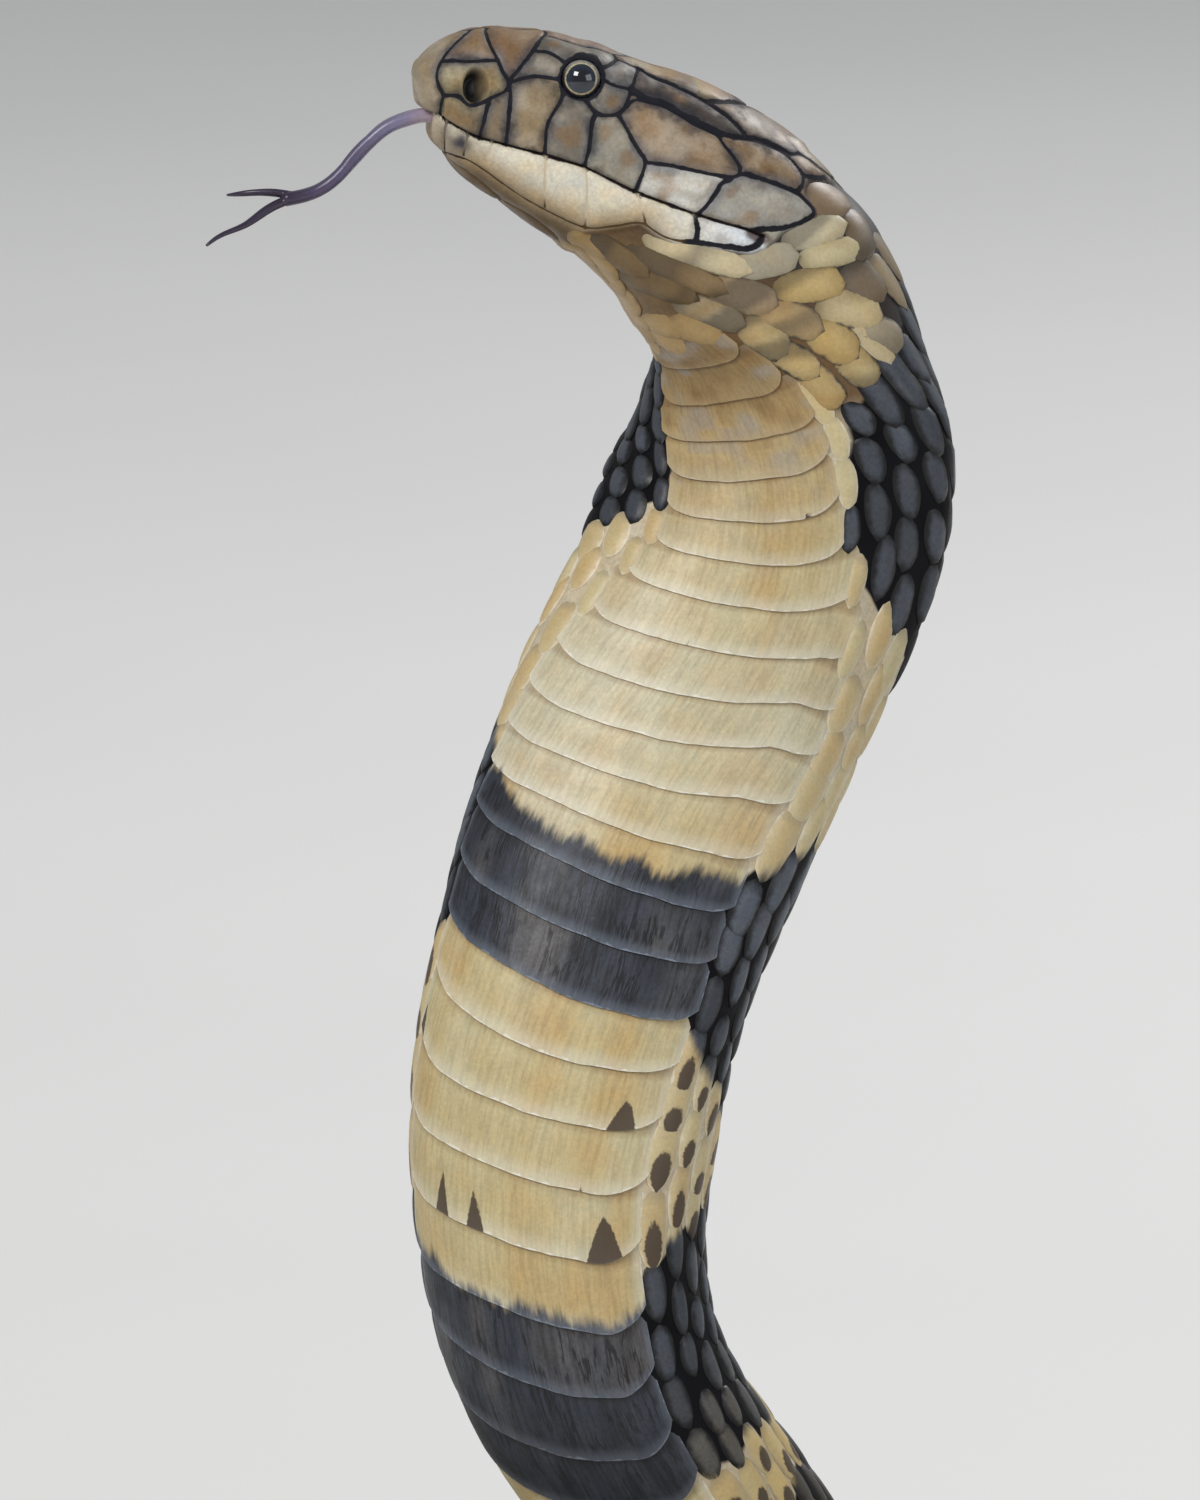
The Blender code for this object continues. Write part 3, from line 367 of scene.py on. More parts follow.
def soft_noise(x, y=0.0, seed=0):
    """Smooth values from 0 to 1 over a plane, with one new draw for each unit."""
    x, y = np.broadcast_arrays(np.asarray(x, float) + 17.3 * seed, np.asarray(y, float) + 5.7 * seed)
    i, j = np.floor(x).astype(int), np.floor(y).astype(int)
    a, b = ease(0, 1, x - i), ease(0, 1, y - j)
    table = lambda di, dj: NOISE_TABLE[(i + di) % 256, (j + dj) % 256]
    low, high = (table(0, row) * (1 - a) + table(1, row) * a for row in (0, 1))
    return low * (1 - b) + high * b


def shade(red, green, blue):
    """A colour given on the usual scale to 255, as the linear light that Blender works in."""
    c = np.array([red, green, blue]) / 255
    return np.where(c <= 0.04045, c / 12.92, ((c + 0.055) / 1.055) ** 2.4)


def mix(a, b, t):
    """Colour a where t is 0, colour b where it is 1."""
    t = np.clip(np.asarray(t, float), 0, 1)[..., None]
    return np.asarray(a) * (1 - t) + np.asarray(b) * t


def glazed(colour, *coats):
    """The colour with thin coats (another colour, how much of it) laid over it, one after the other."""
    for coat, share in coats:
        colour = mix(colour, shade(*coat) if isinstance(coat, tuple) else coat, share)
    return colour


# %% [markdown]
# ## The shields of the head
# A king cobra's head is covered by a few large shields that meet in fine grooves. Two big ones behind the
# crown, the occipitals, tell it from all other cobras. The grooves could be painted, but light only plays
# over real ones. So the lines between the shields are laid down here as the groover's drawing, and the skin
# is pressed in along them. A place on the side of the head is (p, q), as seen by someone at its left who
# stands a little in front of it: p runs back along the head and q up. The same drawing is laid on the right
# side, and each half of the head is searched for its own lines.

# %% The drawing of the grooves
SEEN_BACK = np.array([0.978, 0.210, 0.010])
SEEN_UP = np.array([-0.0015, -0.045, 1.0])
MOUTH = [
    (1.9, -0.75), (3.25, -0.75), (4.75, -1.3), (8, -1.9), (10, -2), (13.5, -1.75), (18.5, -1.25), (23.5, -1),
    (25.5, -0.9), (29.75, -1.5), (33.5, -2), (37.2, -2.1), (42.7, -2.2), (47.7, -2.05), (50.4, -1.75), (53.4, -2.0),
]
SNOUT_GROOVES = [
    [(0.9, 6.75), (0.75, 5.5), (1, 4.25), (2, 3), (2.9, 2.1), (2.9, 1.25), (3.25, -0.75)],
    [(0.9, 6.75), (2.5, 7.4), (4.5, 7.9), (6.25, 8.6), (8.6, 9.5)],
    [(5.5, 12.9), (6.75, 11.25), (8.25, 9.9), (8.75, 9.4)],
    [(8.75, 9.4), (9.75, 8.25), (11, 7.25), (11.4, 6.5), (11, 5.5), (10, 4.6), (9.25, 3.9), (8.25, 2.75), (7, 2),
     (6, 2.25), (5, 2.9), (3.75, 2.6), (2.9, 2.1)],
    [(13.5, 14.5), (13, 12.5), (12.4, 10.75), (11.5, 8), (11, 7.25)],
    [(13, 12.5), (15, 13), (16.75, 12.75), (17.7, 12.3)],
    [(11.5, 7.2), (12.5, 8), (14, 8.9), (15.5, 9.4), (17.25, 9.6), (18.2, 9.7)],
    [(23.3, 13.2), (24.3, 14.2)], [(23.9, 11.8), (25.5, 11.5), (28.2, 11.8)],
    [(22.5, 8.2), (24.7, 6.75), (26, 7), (27.6, 7.75), (28.25, 9), (28.3, 11.9), (28.2, 15)],
]
LIP_GROOVES = [
    [(9.25, 3.9), (9.5, 1.75), (9.75, -2)], [(11.3, 7), (12, 5.5), (12.6, 3), (13, 1.5), (13.75, -1.75)],
    [(18.2, 9.4), (19.4, 7.5), (18.5, 4.5), (18.4, 2.5), (19, 0.75), (19.4, -1.1)],
    [(24.5, 6.7), (24.4, 5.4), (24.75, 4), (25.25, 2), (25.5, -0.9)],
    [(27.6, 7.75), (29.25, 6.5), (31, 4.75), (32.5, 3.5), (33.6, 2.9), (33.75, 1), (33.5, -2)],
    [(46.0, 4.2), (44.8, 3.2), (44.8, 2.2), (44.3, 0.6), (43.8, -1), (43.1, -2.2)],
    [(33.8, 2.6), (36.4, 3.2), (38.5, 3.5), (42, 3.9), (46.2, 4.4), (47.2, 5.6), (49, 5.8), (55.6, 5.7),
     (57.5, 4.8), (59, 4), (59.2, 3.2), (57.7, 1.6), (55.6, 0), (53.8, -0.7), (51.7, -1.5)],
]
TEMPLE_GROOVES = [
    [(28.25, 9), (29, 10.6), (30.6, 10.9), (33.3, 11.1), (35.9, 10.6), (39, 9.9), (42.2, 9.7), (43.3, 8.7),
     (45.1, 7.7), (46.7, 6.4), (47.0, 5.6)],
    [(42.7, 9.8), (46.9, 10.6), (50.4, 10.6), (52.5, 10.2), (54.3, 9.3), (55.9, 8.2), (56.3, 6.9), (55.8, 5.8)],
    [(52.7, 10.2), (54.3, 11.1), (57, 10.3), (59.8, 9), (56.2, 8.2)],
]
DARK_GROOVES = [  # the black lines behind the eye are the widest
    [(28.3, 11.6), (30.4, 11.2), (33.3, 11.4), (38.5, 10.6), (41.7, 9.9), (44.8, 10.2), (48, 11.1), (50.6, 10.8),
     (52.7, 10.6)],
    [(28.2, 15), (30.4, 14.5), (33.3, 14.3), (37.2, 14), (39.6, 13.5), (42.2, 12.8), (44.3, 11.9), (45.9, 11.0)],
]
JAW_GROOVES = [
    [(4.6, -1.4), (4.6, -2.5), (5.75, -5.6)], [(8, -2), (8.4, -5)], [(11.75, -2), (11.75, -4.6)],
    [(19.75, -1.3), (20.6, -4.5), (22, -8.3)], [(25.75, -1), (27, -4), (28.5, -9.3)], [(34, -2), (36.7, -6)],
    [(42.7, -2.2), (44, -4.2), (44.2, -5.8)],
    [(5.75, -5.4), (9.5, -5.4), (12, -6.1), (16, -7.25), (18.5, -8), (22, -8.6), (28.5, -9.5), (32.5, -7.6),
     (35.9, -5.6), (38.5, -6.6), (41.2, -6.8), (44.2, -5.9), (48.5, -5.2), (52.3, -4.4), (53.4, -2.0)],
]
CROWN_GROOVES = [  # places (distance along, distance from the middle line)
    [(3.4, 0.0), (6, 0.0), (10, 0.0), (13.9, 0.0)], [(3.4, 0.0), (2.4, 2.4), (0.8, 4.2), (-0.3, 5.4)],
    [(5.6, 0.0), (5.0, 2.4)], [(13.9, 0.0), (13.6, 2.6), (12.6, 5.0)],
    [(13.3, 3.5), (16, 4.3), (20, 4.6), (23.6, 4.5), (25.4, 2.6), (26.6, 0.0)],
    [(23.6, 4.5), (24.0, 6.3), (22.8, 8.8)], [(24.0, 6.3), (25.6, 6.7), (27.2, 6.7)],
    [(26.6, 0.0), (34, 0.0), (43.2, 0.0), (50.3, 0.0)], [(50.3, 0.0), (50.0, 4), (49.3, 8), (48.05, 11.1)],
]
DARK_CROWN = [[(43.2, 0.0), (42.0, 4.5), (39.4, 9.1), (37.3, 10.9)]]
CHIN_GROOVES = [  # the same, under the chin
    [(4.5, 0.0), (12, 0.0), (20, 0.0), (27, 0.0)], [(5.2, 0.0), (6.6, 2.2), (8.8, 4.6)],
    [(9.0, 4.6), (12.5, 5.2), (15.5, 3.6), (15.6, 0.0)], [(15.6, 3.6), (20.5, 6.4), (25.5, 4.6), (26.0, 0.0)],
]


def rounded(line, times=2):
    """The line with its corners cut, so that it runs as a curve."""
    line = np.array(line, float)
    for _ in range(times):
        cut = np.stack([line[:-1] * 0.75 + line[1:] * 0.25, line[:-1] * 0.25 + line[1:] * 0.75], 1).reshape(-1, 2)
        line = np.concatenate([line[:1], cut, line[-1:]])
    return line


def dotted(lines, step=0.1):
    """Points at even small steps along rounded lines."""
    dots = []
    for line in map(rounded, lines):
        run = np.concatenate([[0], np.cumsum(np.linalg.norm(np.diff(line, axis=0), axis=1))])
        at = np.linspace(0, run[-1], max(2, int(run[-1] / step)))
        dots.append(np.stack([np.interp(at, run, line[:, k]) for k in (0, 1)], -1))
    return np.concatenate(dots)


def head_place(points):
    """Points in the head's own axes: back, to the side (left and right alike), up."""
    own = (points - in_head(0, 0, 0)) @ HEAD_AXES.T
    own[..., 1] = np.abs(own[..., 1])
    return own


def seen(points):
    """Places (p, q) of points of the head."""
    own = head_place(points)
    return np.stack([own @ SEEN_BACK, own @ SEEN_UP], -1)


def tree_of(points):
    tree = KDTree(len(points))
    for i, place in enumerate(points.tolist()):
        tree.insert(place, i)
    tree.balance()
    return tree


SIDE_S, SIDE_TURN = np.meshgrid(np.arange(-2.1, 84, 0.5), np.linspace(0.02, math.pi - 0.01, 240), indexing="ij")
SIDE_TREES = {}
for side in (1, -1):
    flat_side = seen(surface(SIDE_S, side * SIDE_TURN)).reshape(-1, 2)
    SIDE_TREES[side] = tree_of(np.concatenate([flat_side, np.zeros((SIDE_S.size, 1))], 1))


def on_side(places, side=1):
    """Distances and turns, counted from the belly, of the places (p, q) on the left (1) or the right (-1)."""
    near = [SIDE_TREES[side].find((p, q, 0))[1] for p, q in np.asarray(places).tolist()]
    s, turn = SIDE_S.ravel()[near], SIDE_TURN.ravel()[near]
    for _ in range(4):
        here = seen(surface(s, side * turn))
        by_s = (seen(surface(s + 0.05, side * turn)) - here) / 0.05
        by_turn = (seen(surface(s, side * (turn + 0.002))) - here) / 0.002
        off = np.asarray(places) - here
        size = by_s[:, 0] * by_turn[:, 1] - by_s[:, 1] * by_turn[:, 0]
        size = np.where(np.abs(size) < 0.5, np.inf, size)
        s = s + np.clip((off[:, 0] * by_turn[:, 1] - off[:, 1] * by_turn[:, 0]) / size, -0.4, 0.4)
        turn = turn + np.clip((by_s[:, 0] * off[:, 1] - by_s[:, 1] * off[:, 0]) / size, -0.02, 0.02)
    return s, turn


def over_head(lines, turns, side):
    """Points along lines drawn as (distance along, distance aside), over the crown or under the chin."""
    found = []
    for x, y in dotted(lines, 0.14):
        ring = surface(np.full(len(turns), x), side * turns)
        aside = side * (ring - in_head(0, 0, 0)) @ HEAD_LEFT
        order = np.argsort(aside)
        found.append(surface(x, side * np.interp(y, aside[order], turns[order])))
    return head_place(np.array(found))


def groove_points(lines, side):
    """Points along lines drawn as places (p, q) on the side of the head."""
    s, turn = on_side(dotted(lines), side)
    return head_place(surface(s, side * turn))


OVER, UNDER = np.linspace(math.pi / 2, math.pi, 160), np.linspace(0, math.pi / 2, 160)


def lines_of(side):
    """All the lines of one half of the head, by their kind."""
    kinds = {
        "upper": (SNOUT_GROOVES + LIP_GROOVES + TEMPLE_GROOVES, CROWN_GROOVES, OVER),
        "dark": (DARK_GROOVES, DARK_CROWN, OVER),
        "jaw": (JAW_GROOVES, CHIN_GROOVES, UNDER),
    }
    found = {
        kind: np.concatenate([groove_points(on_flank, side), over_head(across, turns, side)])
        for kind, (on_flank, across, turns) in kinds.items()
    }
    return found | {"mouth": groove_points([MOUTH], side)}


LINES = {side: lines_of(side) for side in (1, -1)}
print("points along the grooves:", {name: len(points) for name, points in LINES[1].items()})

# %% [markdown]
# ## Where the shields end and the scales begin
# Behind the shields, and under the throat, small overlapping scales take over. This line is their border, in
# the same places (p, q). It decides how deep the skin lies: it is at the surface under the shields, and lower
# by the thickness of a scale behind them, so that the scales end up flush.

# %% The border of the head
HEAD_BORDER = np.array([
    (27.0, -40.0), (27.0, -14.0), (29.0, -9.9), (32.7, -8.0), (35.9, -6.1), (38.5, -7.0), (41.2, -7.2), (44.4, -6.3),
    (52.4, -4.9), (54.2, -3.4), (55.6, -0.4), (57.9, 1.4), (59.5, 3.2), (59.2, 4.2), (56.7, 5.8), (56.5, 7.0),
    (56.6, 8.2), (60.0, 9.0), (57.2, 10.5), (55.0, 11.6), (55.4, 14.0), (55.4, 40.0),
])


def inside(places, border):
    """Distance in from a border that is drawn on the side of the head. Below 0 a place is outside."""
    p, q = places[..., 0], places[..., 1]
    a, b = border[:-1], border[1:]
    best = np.full(p.shape, 1e9)
    crossings = np.zeros(p.shape, int)
    for (x0, y0), (x1, y1) in zip(a, b):
        t = np.clip(((p - x0) * (x1 - x0) + (q - y0) * (y1 - y0)) / ((x1 - x0) ** 2 + (y1 - y0) ** 2), 0, 1)
        best = np.minimum(best, np.hypot(p - x0 - t * (x1 - x0), q - y0 - t * (y1 - y0)))
        if y0 != y1:
            level = (q >= min(y0, y1)) & (q < max(y0, y1))
            crossings += level & (x0 + (q - y0) / (y1 - y0) * (x1 - x0) > p)
    return np.where(crossings % 2 == 1, best, -best)


def inside_head(places):
    """Above 0 on the shields, below 0 on the scales."""
    return inside(places, HEAD_BORDER)


def mouth_height(p):
    """How high the line of the mouth runs."""
    return on_rows(MOUTH, p)


print("the crown 50 mm back is inside by", np.round(inside_head(np.array([50.0, 12.0])), 1), "mm")

# %% [markdown]
# ## The net of the skin
# The net is made of rings round the body, joined into faces. The rings are close together on the head, where
# fine grooves have to show, and get wider apart down the body, which the scales will cover. Where two rings
# have unlike numbers of points, a strip of triangles joins them, so the net stays closed. The snout's tip and
# the tail's tip are closed by small rings that run to a point.

# %% Rings of the skin
COAT = 0.45  # how far the skin lies under the tops of the scales
ZONES = [  # from, to, step along, points round
    (SNOUT, 20.0, 0.28, 320), (20.0, 67.0, 0.36, 384), (67.0, FLOOR_START, 4.0, 96), (FLOOR_START, TAIL_TIP, 8.0, 36),
]


def ring_list():
    """Every ring: where it is, how many points it has and how far it is drawn in (1 is not at all)."""
    rings = [(SNOUT, ZONES[0][3], shrink) for shrink in (0.0, 0.18, 0.36, 0.54, 0.7, 0.84, 0.94)]
    for start, end, step, count in ZONES:
        stops = np.linspace(start, end, int(round((end - start) / step)) + 1)
        rings += [(s, count, 1.0) for s in (stops if start == SNOUT else stops[1:])]
    return rings + [(TAIL_TIP, ZONES[-1][3], shrink) for shrink in (0.75, 0.4, 0.0)]


RINGS = ring_list()
NET_S = np.concatenate([np.full(count, at) for at, count, _ in RINGS])
NET_SHARE = np.concatenate([np.arange(count) / count for _, count, _ in RINGS])
NET_SHRINK = np.concatenate([np.full(count, by) for _, count, by in RINGS])
NET_RING = np.repeat(np.arange(len(RINGS)), [count for _, count, _ in RINGS])
print("rings and points of the skin:", len(RINGS), len(NET_S))

# %% [markdown]
# ## Pressing in the head's relief
# Every point of the net on the head is moved out or in by the features near it: a groove if it lies on a line
# of the drawing, a low cushion in the middle of a shield, the slit of the mouth, the pit of the nostril and
# the rim round the eye. Sculpting by hand would do as well, but a rule keeps both sides alike and can be
# read again later. The eye's rim is brought to the ball of the eye, so that no gap shows round it.

# %% Relief of the head
EYE_AT, EYE_RADIUS, EYE_DEPTH, EYE_OPENING = (21.15, 12.1), 3.2, 1.75, 2.78
NOSTRIL_AT, NOSTRIL_LEAN = (6.75, 4.9), math.radians(-18)
NOSTRIL_LONG, NOSTRIL_HIGH = 1.9, 2.7  # half of its length and of its height
EYE_S, EYE_TURN = (float(v[0]) for v in on_side([EYE_AT]))


def eye_centre(side):
    """The middle of the ball, sunk under the surface."""
    return surface(EYE_S, side * EYE_TURN, -EYE_DEPTH)


def eye_axis(side):
    """The way that the eye looks: aside, a little forward and up."""
    return unit(-0.22 * HEAD_BACK + side * 0.96 * HEAD_LEFT + 0.14 * HEAD_UP)


def nostril(places):
    """How far inside the nostril a place is (1 in its middle, 0 at its rim), and how far to its rear."""
    dp, dq = places[..., 0] - NOSTRIL_AT[0], places[..., 1] - NOSTRIL_AT[1]
    cosine, sine = math.cos(NOSTRIL_LEAN), math.sin(NOSTRIL_LEAN)
    along, across = dp * cosine - dq * sine, dp * sine + dq * cosine
    return 1 - np.hypot(along / NOSTRIL_LONG, across / NOSTRIL_HIGH), along / NOSTRIL_LONG


HEAD_END = 67.2  # the last ring that can carry a groove
ON_HEAD = NET_S < HEAD_END
HALF = np.where(NET_SHARE[ON_HEAD] < 0.5, 1, -1)  # the left or the right half of the head
HEAD_BASE = surface(NET_S[ON_HEAD], turn_at(NET_S[ON_HEAD], NET_SHARE[ON_HEAD]))


def nearest_line(places, names):
    """The nearest point of the lines on the same half of the head, and how far it is."""
    nearest, distance = np.zeros(places.shape), np.zeros(len(places))
    for side in (1, -1):
        points = np.concatenate([LINES[side][name] for name in names])
        tree = tree_of(points)
        found = [tree.find(place)[1:] for place in places[HALF == side].tolist()]
        nearest[HALF == side] = points[[index for index, _ in found]]
        distance[HALF == side] = [far for _, far in found]
    return nearest, distance


def snap_to_grooves():
    """Shifts the points next to a groove onto it, so that it runs cleanly through the net."""
    own, side = head_place(HEAD_BASE), np.sign((HEAD_BASE - in_head(0, 0, 0)) @ HEAD_LEFT)
    nearest, distance = nearest_line(own, list(LINES[1]))
    shift = (nearest - own) * ease(0.27, 0.13, distance)[:, None]
    moved = own + shift
    shift[:, 1] *= side
    return shift @ HEAD_AXES, moved


SNAP, HEAD_OWN = snap_to_grooves()
HEAD_SEEN = np.stack([HEAD_OWN @ SEEN_BACK, HEAD_OWN @ SEEN_UP], -1)
NEAR = {name: nearest_line(HEAD_OWN, [name])[1] for name in LINES[1]}
GROOVE = np.minimum(np.minimum(NEAR["upper"], NEAR["dark"]), NEAR["jaw"])
INSIDE = inside_head(HEAD_SEEN)


def head_relief():
    """How far each point of the head is raised."""
    p, q = HEAD_SEEN[:, 0], HEAD_SEEN[:, 1]
    line = np.minimum(GROOVE, NEAR["mouth"])
    shield = 0.27 * (1 - np.exp(-(line / 0.30) ** 2)) + 0.20 * (1 - np.exp(-(line / 1.5) ** 2)) - 0.06
    shield = shield + 0.14 * (soft_noise(p * 0.42, q * 0.42, 3) - 0.5)
    shield = shield + 0.05 * (soft_noise(p * 1.6, q * 1.6, 13) - 0.5)
    shield = shield - 0.12 * np.exp(-(NEAR["dark"] / 0.5) ** 2)
    lower = (q < mouth_height(p)) & (p < 53.5)
    shield = shield - 0.22 * np.exp(-(NEAR["mouth"] / 0.9) ** 2) * lower
    relief = shield * ease(-0.2, 0.9, INSIDE) - COAT * ease(0.3, -0.9, INSIDE)
    relief = relief - 0.7 * np.exp(-(NEAR["mouth"] / 0.25) ** 2) * ease(-1.2, 0.2, INSIDE)
    relief = relief - 0.5 * ease(1.2, 0.3, np.hypot((p - 52.6) / 2.0, (q + 2.2) / 1.0))
    hole, rear = nostril(HEAD_SEEN)
    relief = relief - (2.2 - 1.5 * ease(0.1, 0.9, rear)) * ease(0.0, 0.35, hole)
    relief = relief + 0.25 * np.exp(-((hole + 0.12) / 0.13) ** 2) * (0.5 + 0.5 * ease(0.4, -0.4, rear))
    relief = relief + 0.35 * np.exp(-((q - 13.9) / 0.7) ** 2) * ease(14.0, 16.5, p) * ease(25.5, 23.0, p)
    notch = np.hypot(HEAD_OWN[:, 1] / 1.9, (HEAD_OWN[:, 0] - 1.2) / 3.0) + 4 * (q > 1.5)
    return relief - 0.7 * ease(1.2, 0.5, notch)


def settle_eye(points):
    """Brings the skin round each eye flush with the eyeball, and sinks it under the ball."""
    for side in (1, -1):
        centre, axis = eye_centre(side), eye_axis(side)
        off = points - centre
        height = off @ axis
        ring = np.linalg.norm(off - height[:, None] * axis, axis=1)
        near = (ring < 6) & (height > -4)
        rim = math.sqrt(EYE_RADIUS**2 - EYE_OPENING**2) + 0.04
        wanted = rim + 0.20 * np.exp(-((ring - 3.1) / 0.28) ** 2)
        moved = height + (wanted - height) * ease(4.9, 2.95, ring)
        sunk = -1.4 + (moved + 1.4) * ease(EYE_OPENING - 0.12, EYE_OPENING, ring)
        moved = np.where(ring < EYE_OPENING, sunk, moved)
        points = np.where(near[:, None], points + axis * (moved - height)[:, None], points)
    return points


HEAD_RELIEF = head_relief()
print("deepest and highest relief on the head:", HEAD_RELIEF.min().round(2), HEAD_RELIEF.max().round(2), "mm")

# %% [markdown]
# ## Numbering the shields
# Each shield gets a shade of its own, so the net has to know which points belong together. Water poured on
# one point of a shield spreads over it and stops at its grooves. The same idea, a flood fill over the rings
# and columns, numbers all the shields at once without a list of their outlines.

# %% Flood fill over the head
def flood(is_open, columns):
    """Numbers the open patches of a net of rings, each with its own count of columns."""
    start = np.concatenate([[0], np.cumsum(columns)])
    label = np.full(start[-1], -1)
    count = 0
    for first in np.nonzero(is_open)[0].tolist():
        if label[first] >= 0:
            continue
        heap, label[first] = [first], count
        while heap:
            here = heap.pop()
            i = int(NET_RING[here])
            j, n = here - start[i], columns[i]
            near = [start[i] + (j + 1) % n, start[i] + (j - 1) % n]
            for k in (i - 1, i + 1):
                if 0 <= k < len(columns):
                    near.append(start[k] + int(round(j / n * columns[k])) % columns[k])
            for there in near:
                if is_open[there] and label[there] < 0:
                    label[there] = count
                    heap.append(there)
        count += 1
    for _ in range(3):
        for step in (1, -1, columns[0], -columns[0]):
            label = np.where(label < 0, np.roll(label, step), label)
    return label


HEAD_COLUMNS = [count for s, count, _ in RINGS if s < HEAD_END]
SHIELD = flood(np.minimum(GROOVE, NEAR["mouth"]) > 0.3, HEAD_COLUMNS)
SHIELD_SHADE, SHIELD_HUE = np.random.default_rng(5).random((2, SHIELD.max() + 2))[:, SHIELD]
print("shields found:", SHIELD.max() + 1)

# %% [markdown]
# ## The markings
# Skin, belly scutes and scales must carry one pattern, or the body would look patched. So the pattern is a
# function of the place alone. The throat and the front of the hood are cream-yellow, and the hood's sides are
# black. Slate belts cross the belly, and on the black back they leave narrow pale crossbands that lean
# forward. An image could hold all this, but a function also works on the side that nobody has ever seen.

# %% Pattern of dark and pale
SCUTE_REACH = [  # how many degrees round from the belly line the scutes reach
    (60, 28), (66, 31), (75, 34), (96, 30), (105, 37), (114, 46), (127, 55), (141, 57), (2000, 56), (2500, 50),
]
scute_reach = smooth(SCUTE_REACH)
REACH_S = np.concatenate([np.arange(20, 360, 4.0), np.arange(360, TAIL_TIP, 20)])
REACH_SHARE = share_of_turn(REACH_S, np.radians(scute_reach(REACH_S)))


def belly_share(s):
    """The share of the girth that the belly scutes cover on each side."""
    return np.interp(s, REACH_S, REACH_SHARE)


BAND_CENTRES = np.array(  # of the raised part, the trunk and the tail
    [133.0, 191.0, 247.0] + [247.0 + 55 * k for k in range(1, 31)] + [1897 + 40 * k for k in range(1, 15)]
)
BELLY_PALE = [(0, 60), (133, 18.0), (191, 20.2), (247, 13), (300, 13), (500, 11), (900, 8), (2500, 6)]
BACK_PALE = [(0, 4.0), (130, 4.5), (250, 4.5), (500, 4.6), (1500, 4.4), (2500, 3.2)]
HOOD_LEFT = [  # where the hood's black side starts, from the scutes (0) to the middle of the back (1)
    (52, 1.3), (62, 0.95), (68, 0.60), (73, 0.37), (76, 0.27), (81, 0.15), (87, 0.07), (94, 0.06), (98, 0.02),
    (106, 0.0), (109, 0.10), (111, 0.29), (114, 0.44), (126, 0.46),
]
HOOD_RIGHT = [
    (50, 1.3), (56, 0.95), (60, 0.45), (64, 0.10), (67, 0.0), (90, 0.0), (95, 0.05), (103.5, 0.23), (107, 0.46),
    (126, 0.46),
]
BOWED = [  # how far the belts' front edge is bowed
    (0, 0), (130, 0), (138, 150), (158, 150), (164, 0), (196, 0), (204, 100), (226, 100), (234, 0),
]
HOOD_END, DEEPEST = 122.0, 8.0  # where the belts take over, and how deep a place may count


def flank(s, share):
    """0 at the edge of the belly scutes, 1 in the middle of the back, below 0 on the belly."""
    aside = np.minimum(share % 1.0, 1 - share % 1.0)
    edge = belly_share(s)
    return (aside - edge) / (0.5 - edge)


def dark_depth(s, share):
    """How many millimetres deep a place lies in the dark of the pattern. Below 0 it lies in the pale."""
    s, share = np.broadcast_arrays(np.asarray(s, float), np.asarray(share, float))
    around = flank(s, share)
    ragged = 2.4 * (soft_noise(share * 30, s * 0.02, 1) - 0.5)
    lean = 9.0 * np.clip(around, 0, 1) ** 1.5
    aside = np.clip((share + 0.5) % 1.0 - 0.5, -0.2, 0.2)
    bowed = on_rows(BOWED, s) * aside**2 * np.where(aside < 0, 1.0, 0.55)
    place = s + ragged + lean * ease(240, 300, s) + bowed
    near = BAND_CENTRES[np.abs(place[..., None] - BAND_CENTRES).argmin(-1)]
    reach_belly, reach_back = on_rows(BELLY_PALE, near), on_rows(BACK_PALE, near)
    half = reach_belly + (reach_back - reach_belly) * np.clip(around / 0.42, 0, 1) ** 0.8
    banded = np.abs(place - near) - half
    edge = np.where((share % 1.0) < 0.5, on_rows(HOOD_LEFT, s), on_rows(HOOD_RIGHT, s))
    hood = (around - edge) * 40 + 2.0 * (soft_noise(s * 0.3, share * 30, 4) - 0.5)
    return np.clip(np.where(s < HOOD_END, hood, banded), -DEEPEST, DEEPEST)


def darkness(s, share):
    """0 in the pale and 1 in the dark of the pattern."""
    return ease(-0.5, 0.5, dark_depth(s, share))


print("pale crossbands:", len(BAND_CENTRES))

# %% [markdown]
# ## The colours of the hide
# A scale is never of one colour. Its middle and its rim differ, its base lies in shade, and between the
# stretched scales the bare skin shows. So each part of the pattern has a colour for the core and one for the
# rim, all kept in one place, where they are quick to find and to change together.

# %% Colours of the hide
YELLOW, ORANGE, STRAW = shade(198, 187, 146), shade(190, 160, 106), shade(204, 197, 168)
PALE_RIM, PALE_SKIN = shade(222, 218, 204), shade(206, 198, 176)
SLATE, SLATE_RIM, SLATE_DEEP = shade(54, 59, 69), shade(118, 127, 141), shade(18, 20, 26)
HOOD_CORE, HOOD_RIM = shade(68, 73, 82), shade(6, 6, 8)
BACK_CORE, BACK_RIM = shade(62, 54, 45), shade(16, 15, 15)
BAND_CORE, BAND_RIM = shade(206, 180, 118), shade(112, 90, 52)
NAPE_CORE, NAPE_RIM = shade(138, 122, 96), shade(40, 38, 40)
THROAT, THROAT_RIM, GULLET = shade(164, 138, 92), shade(104, 80, 50), shade(122, 98, 60)
TIP_BROWN = shade(66, 52, 42)


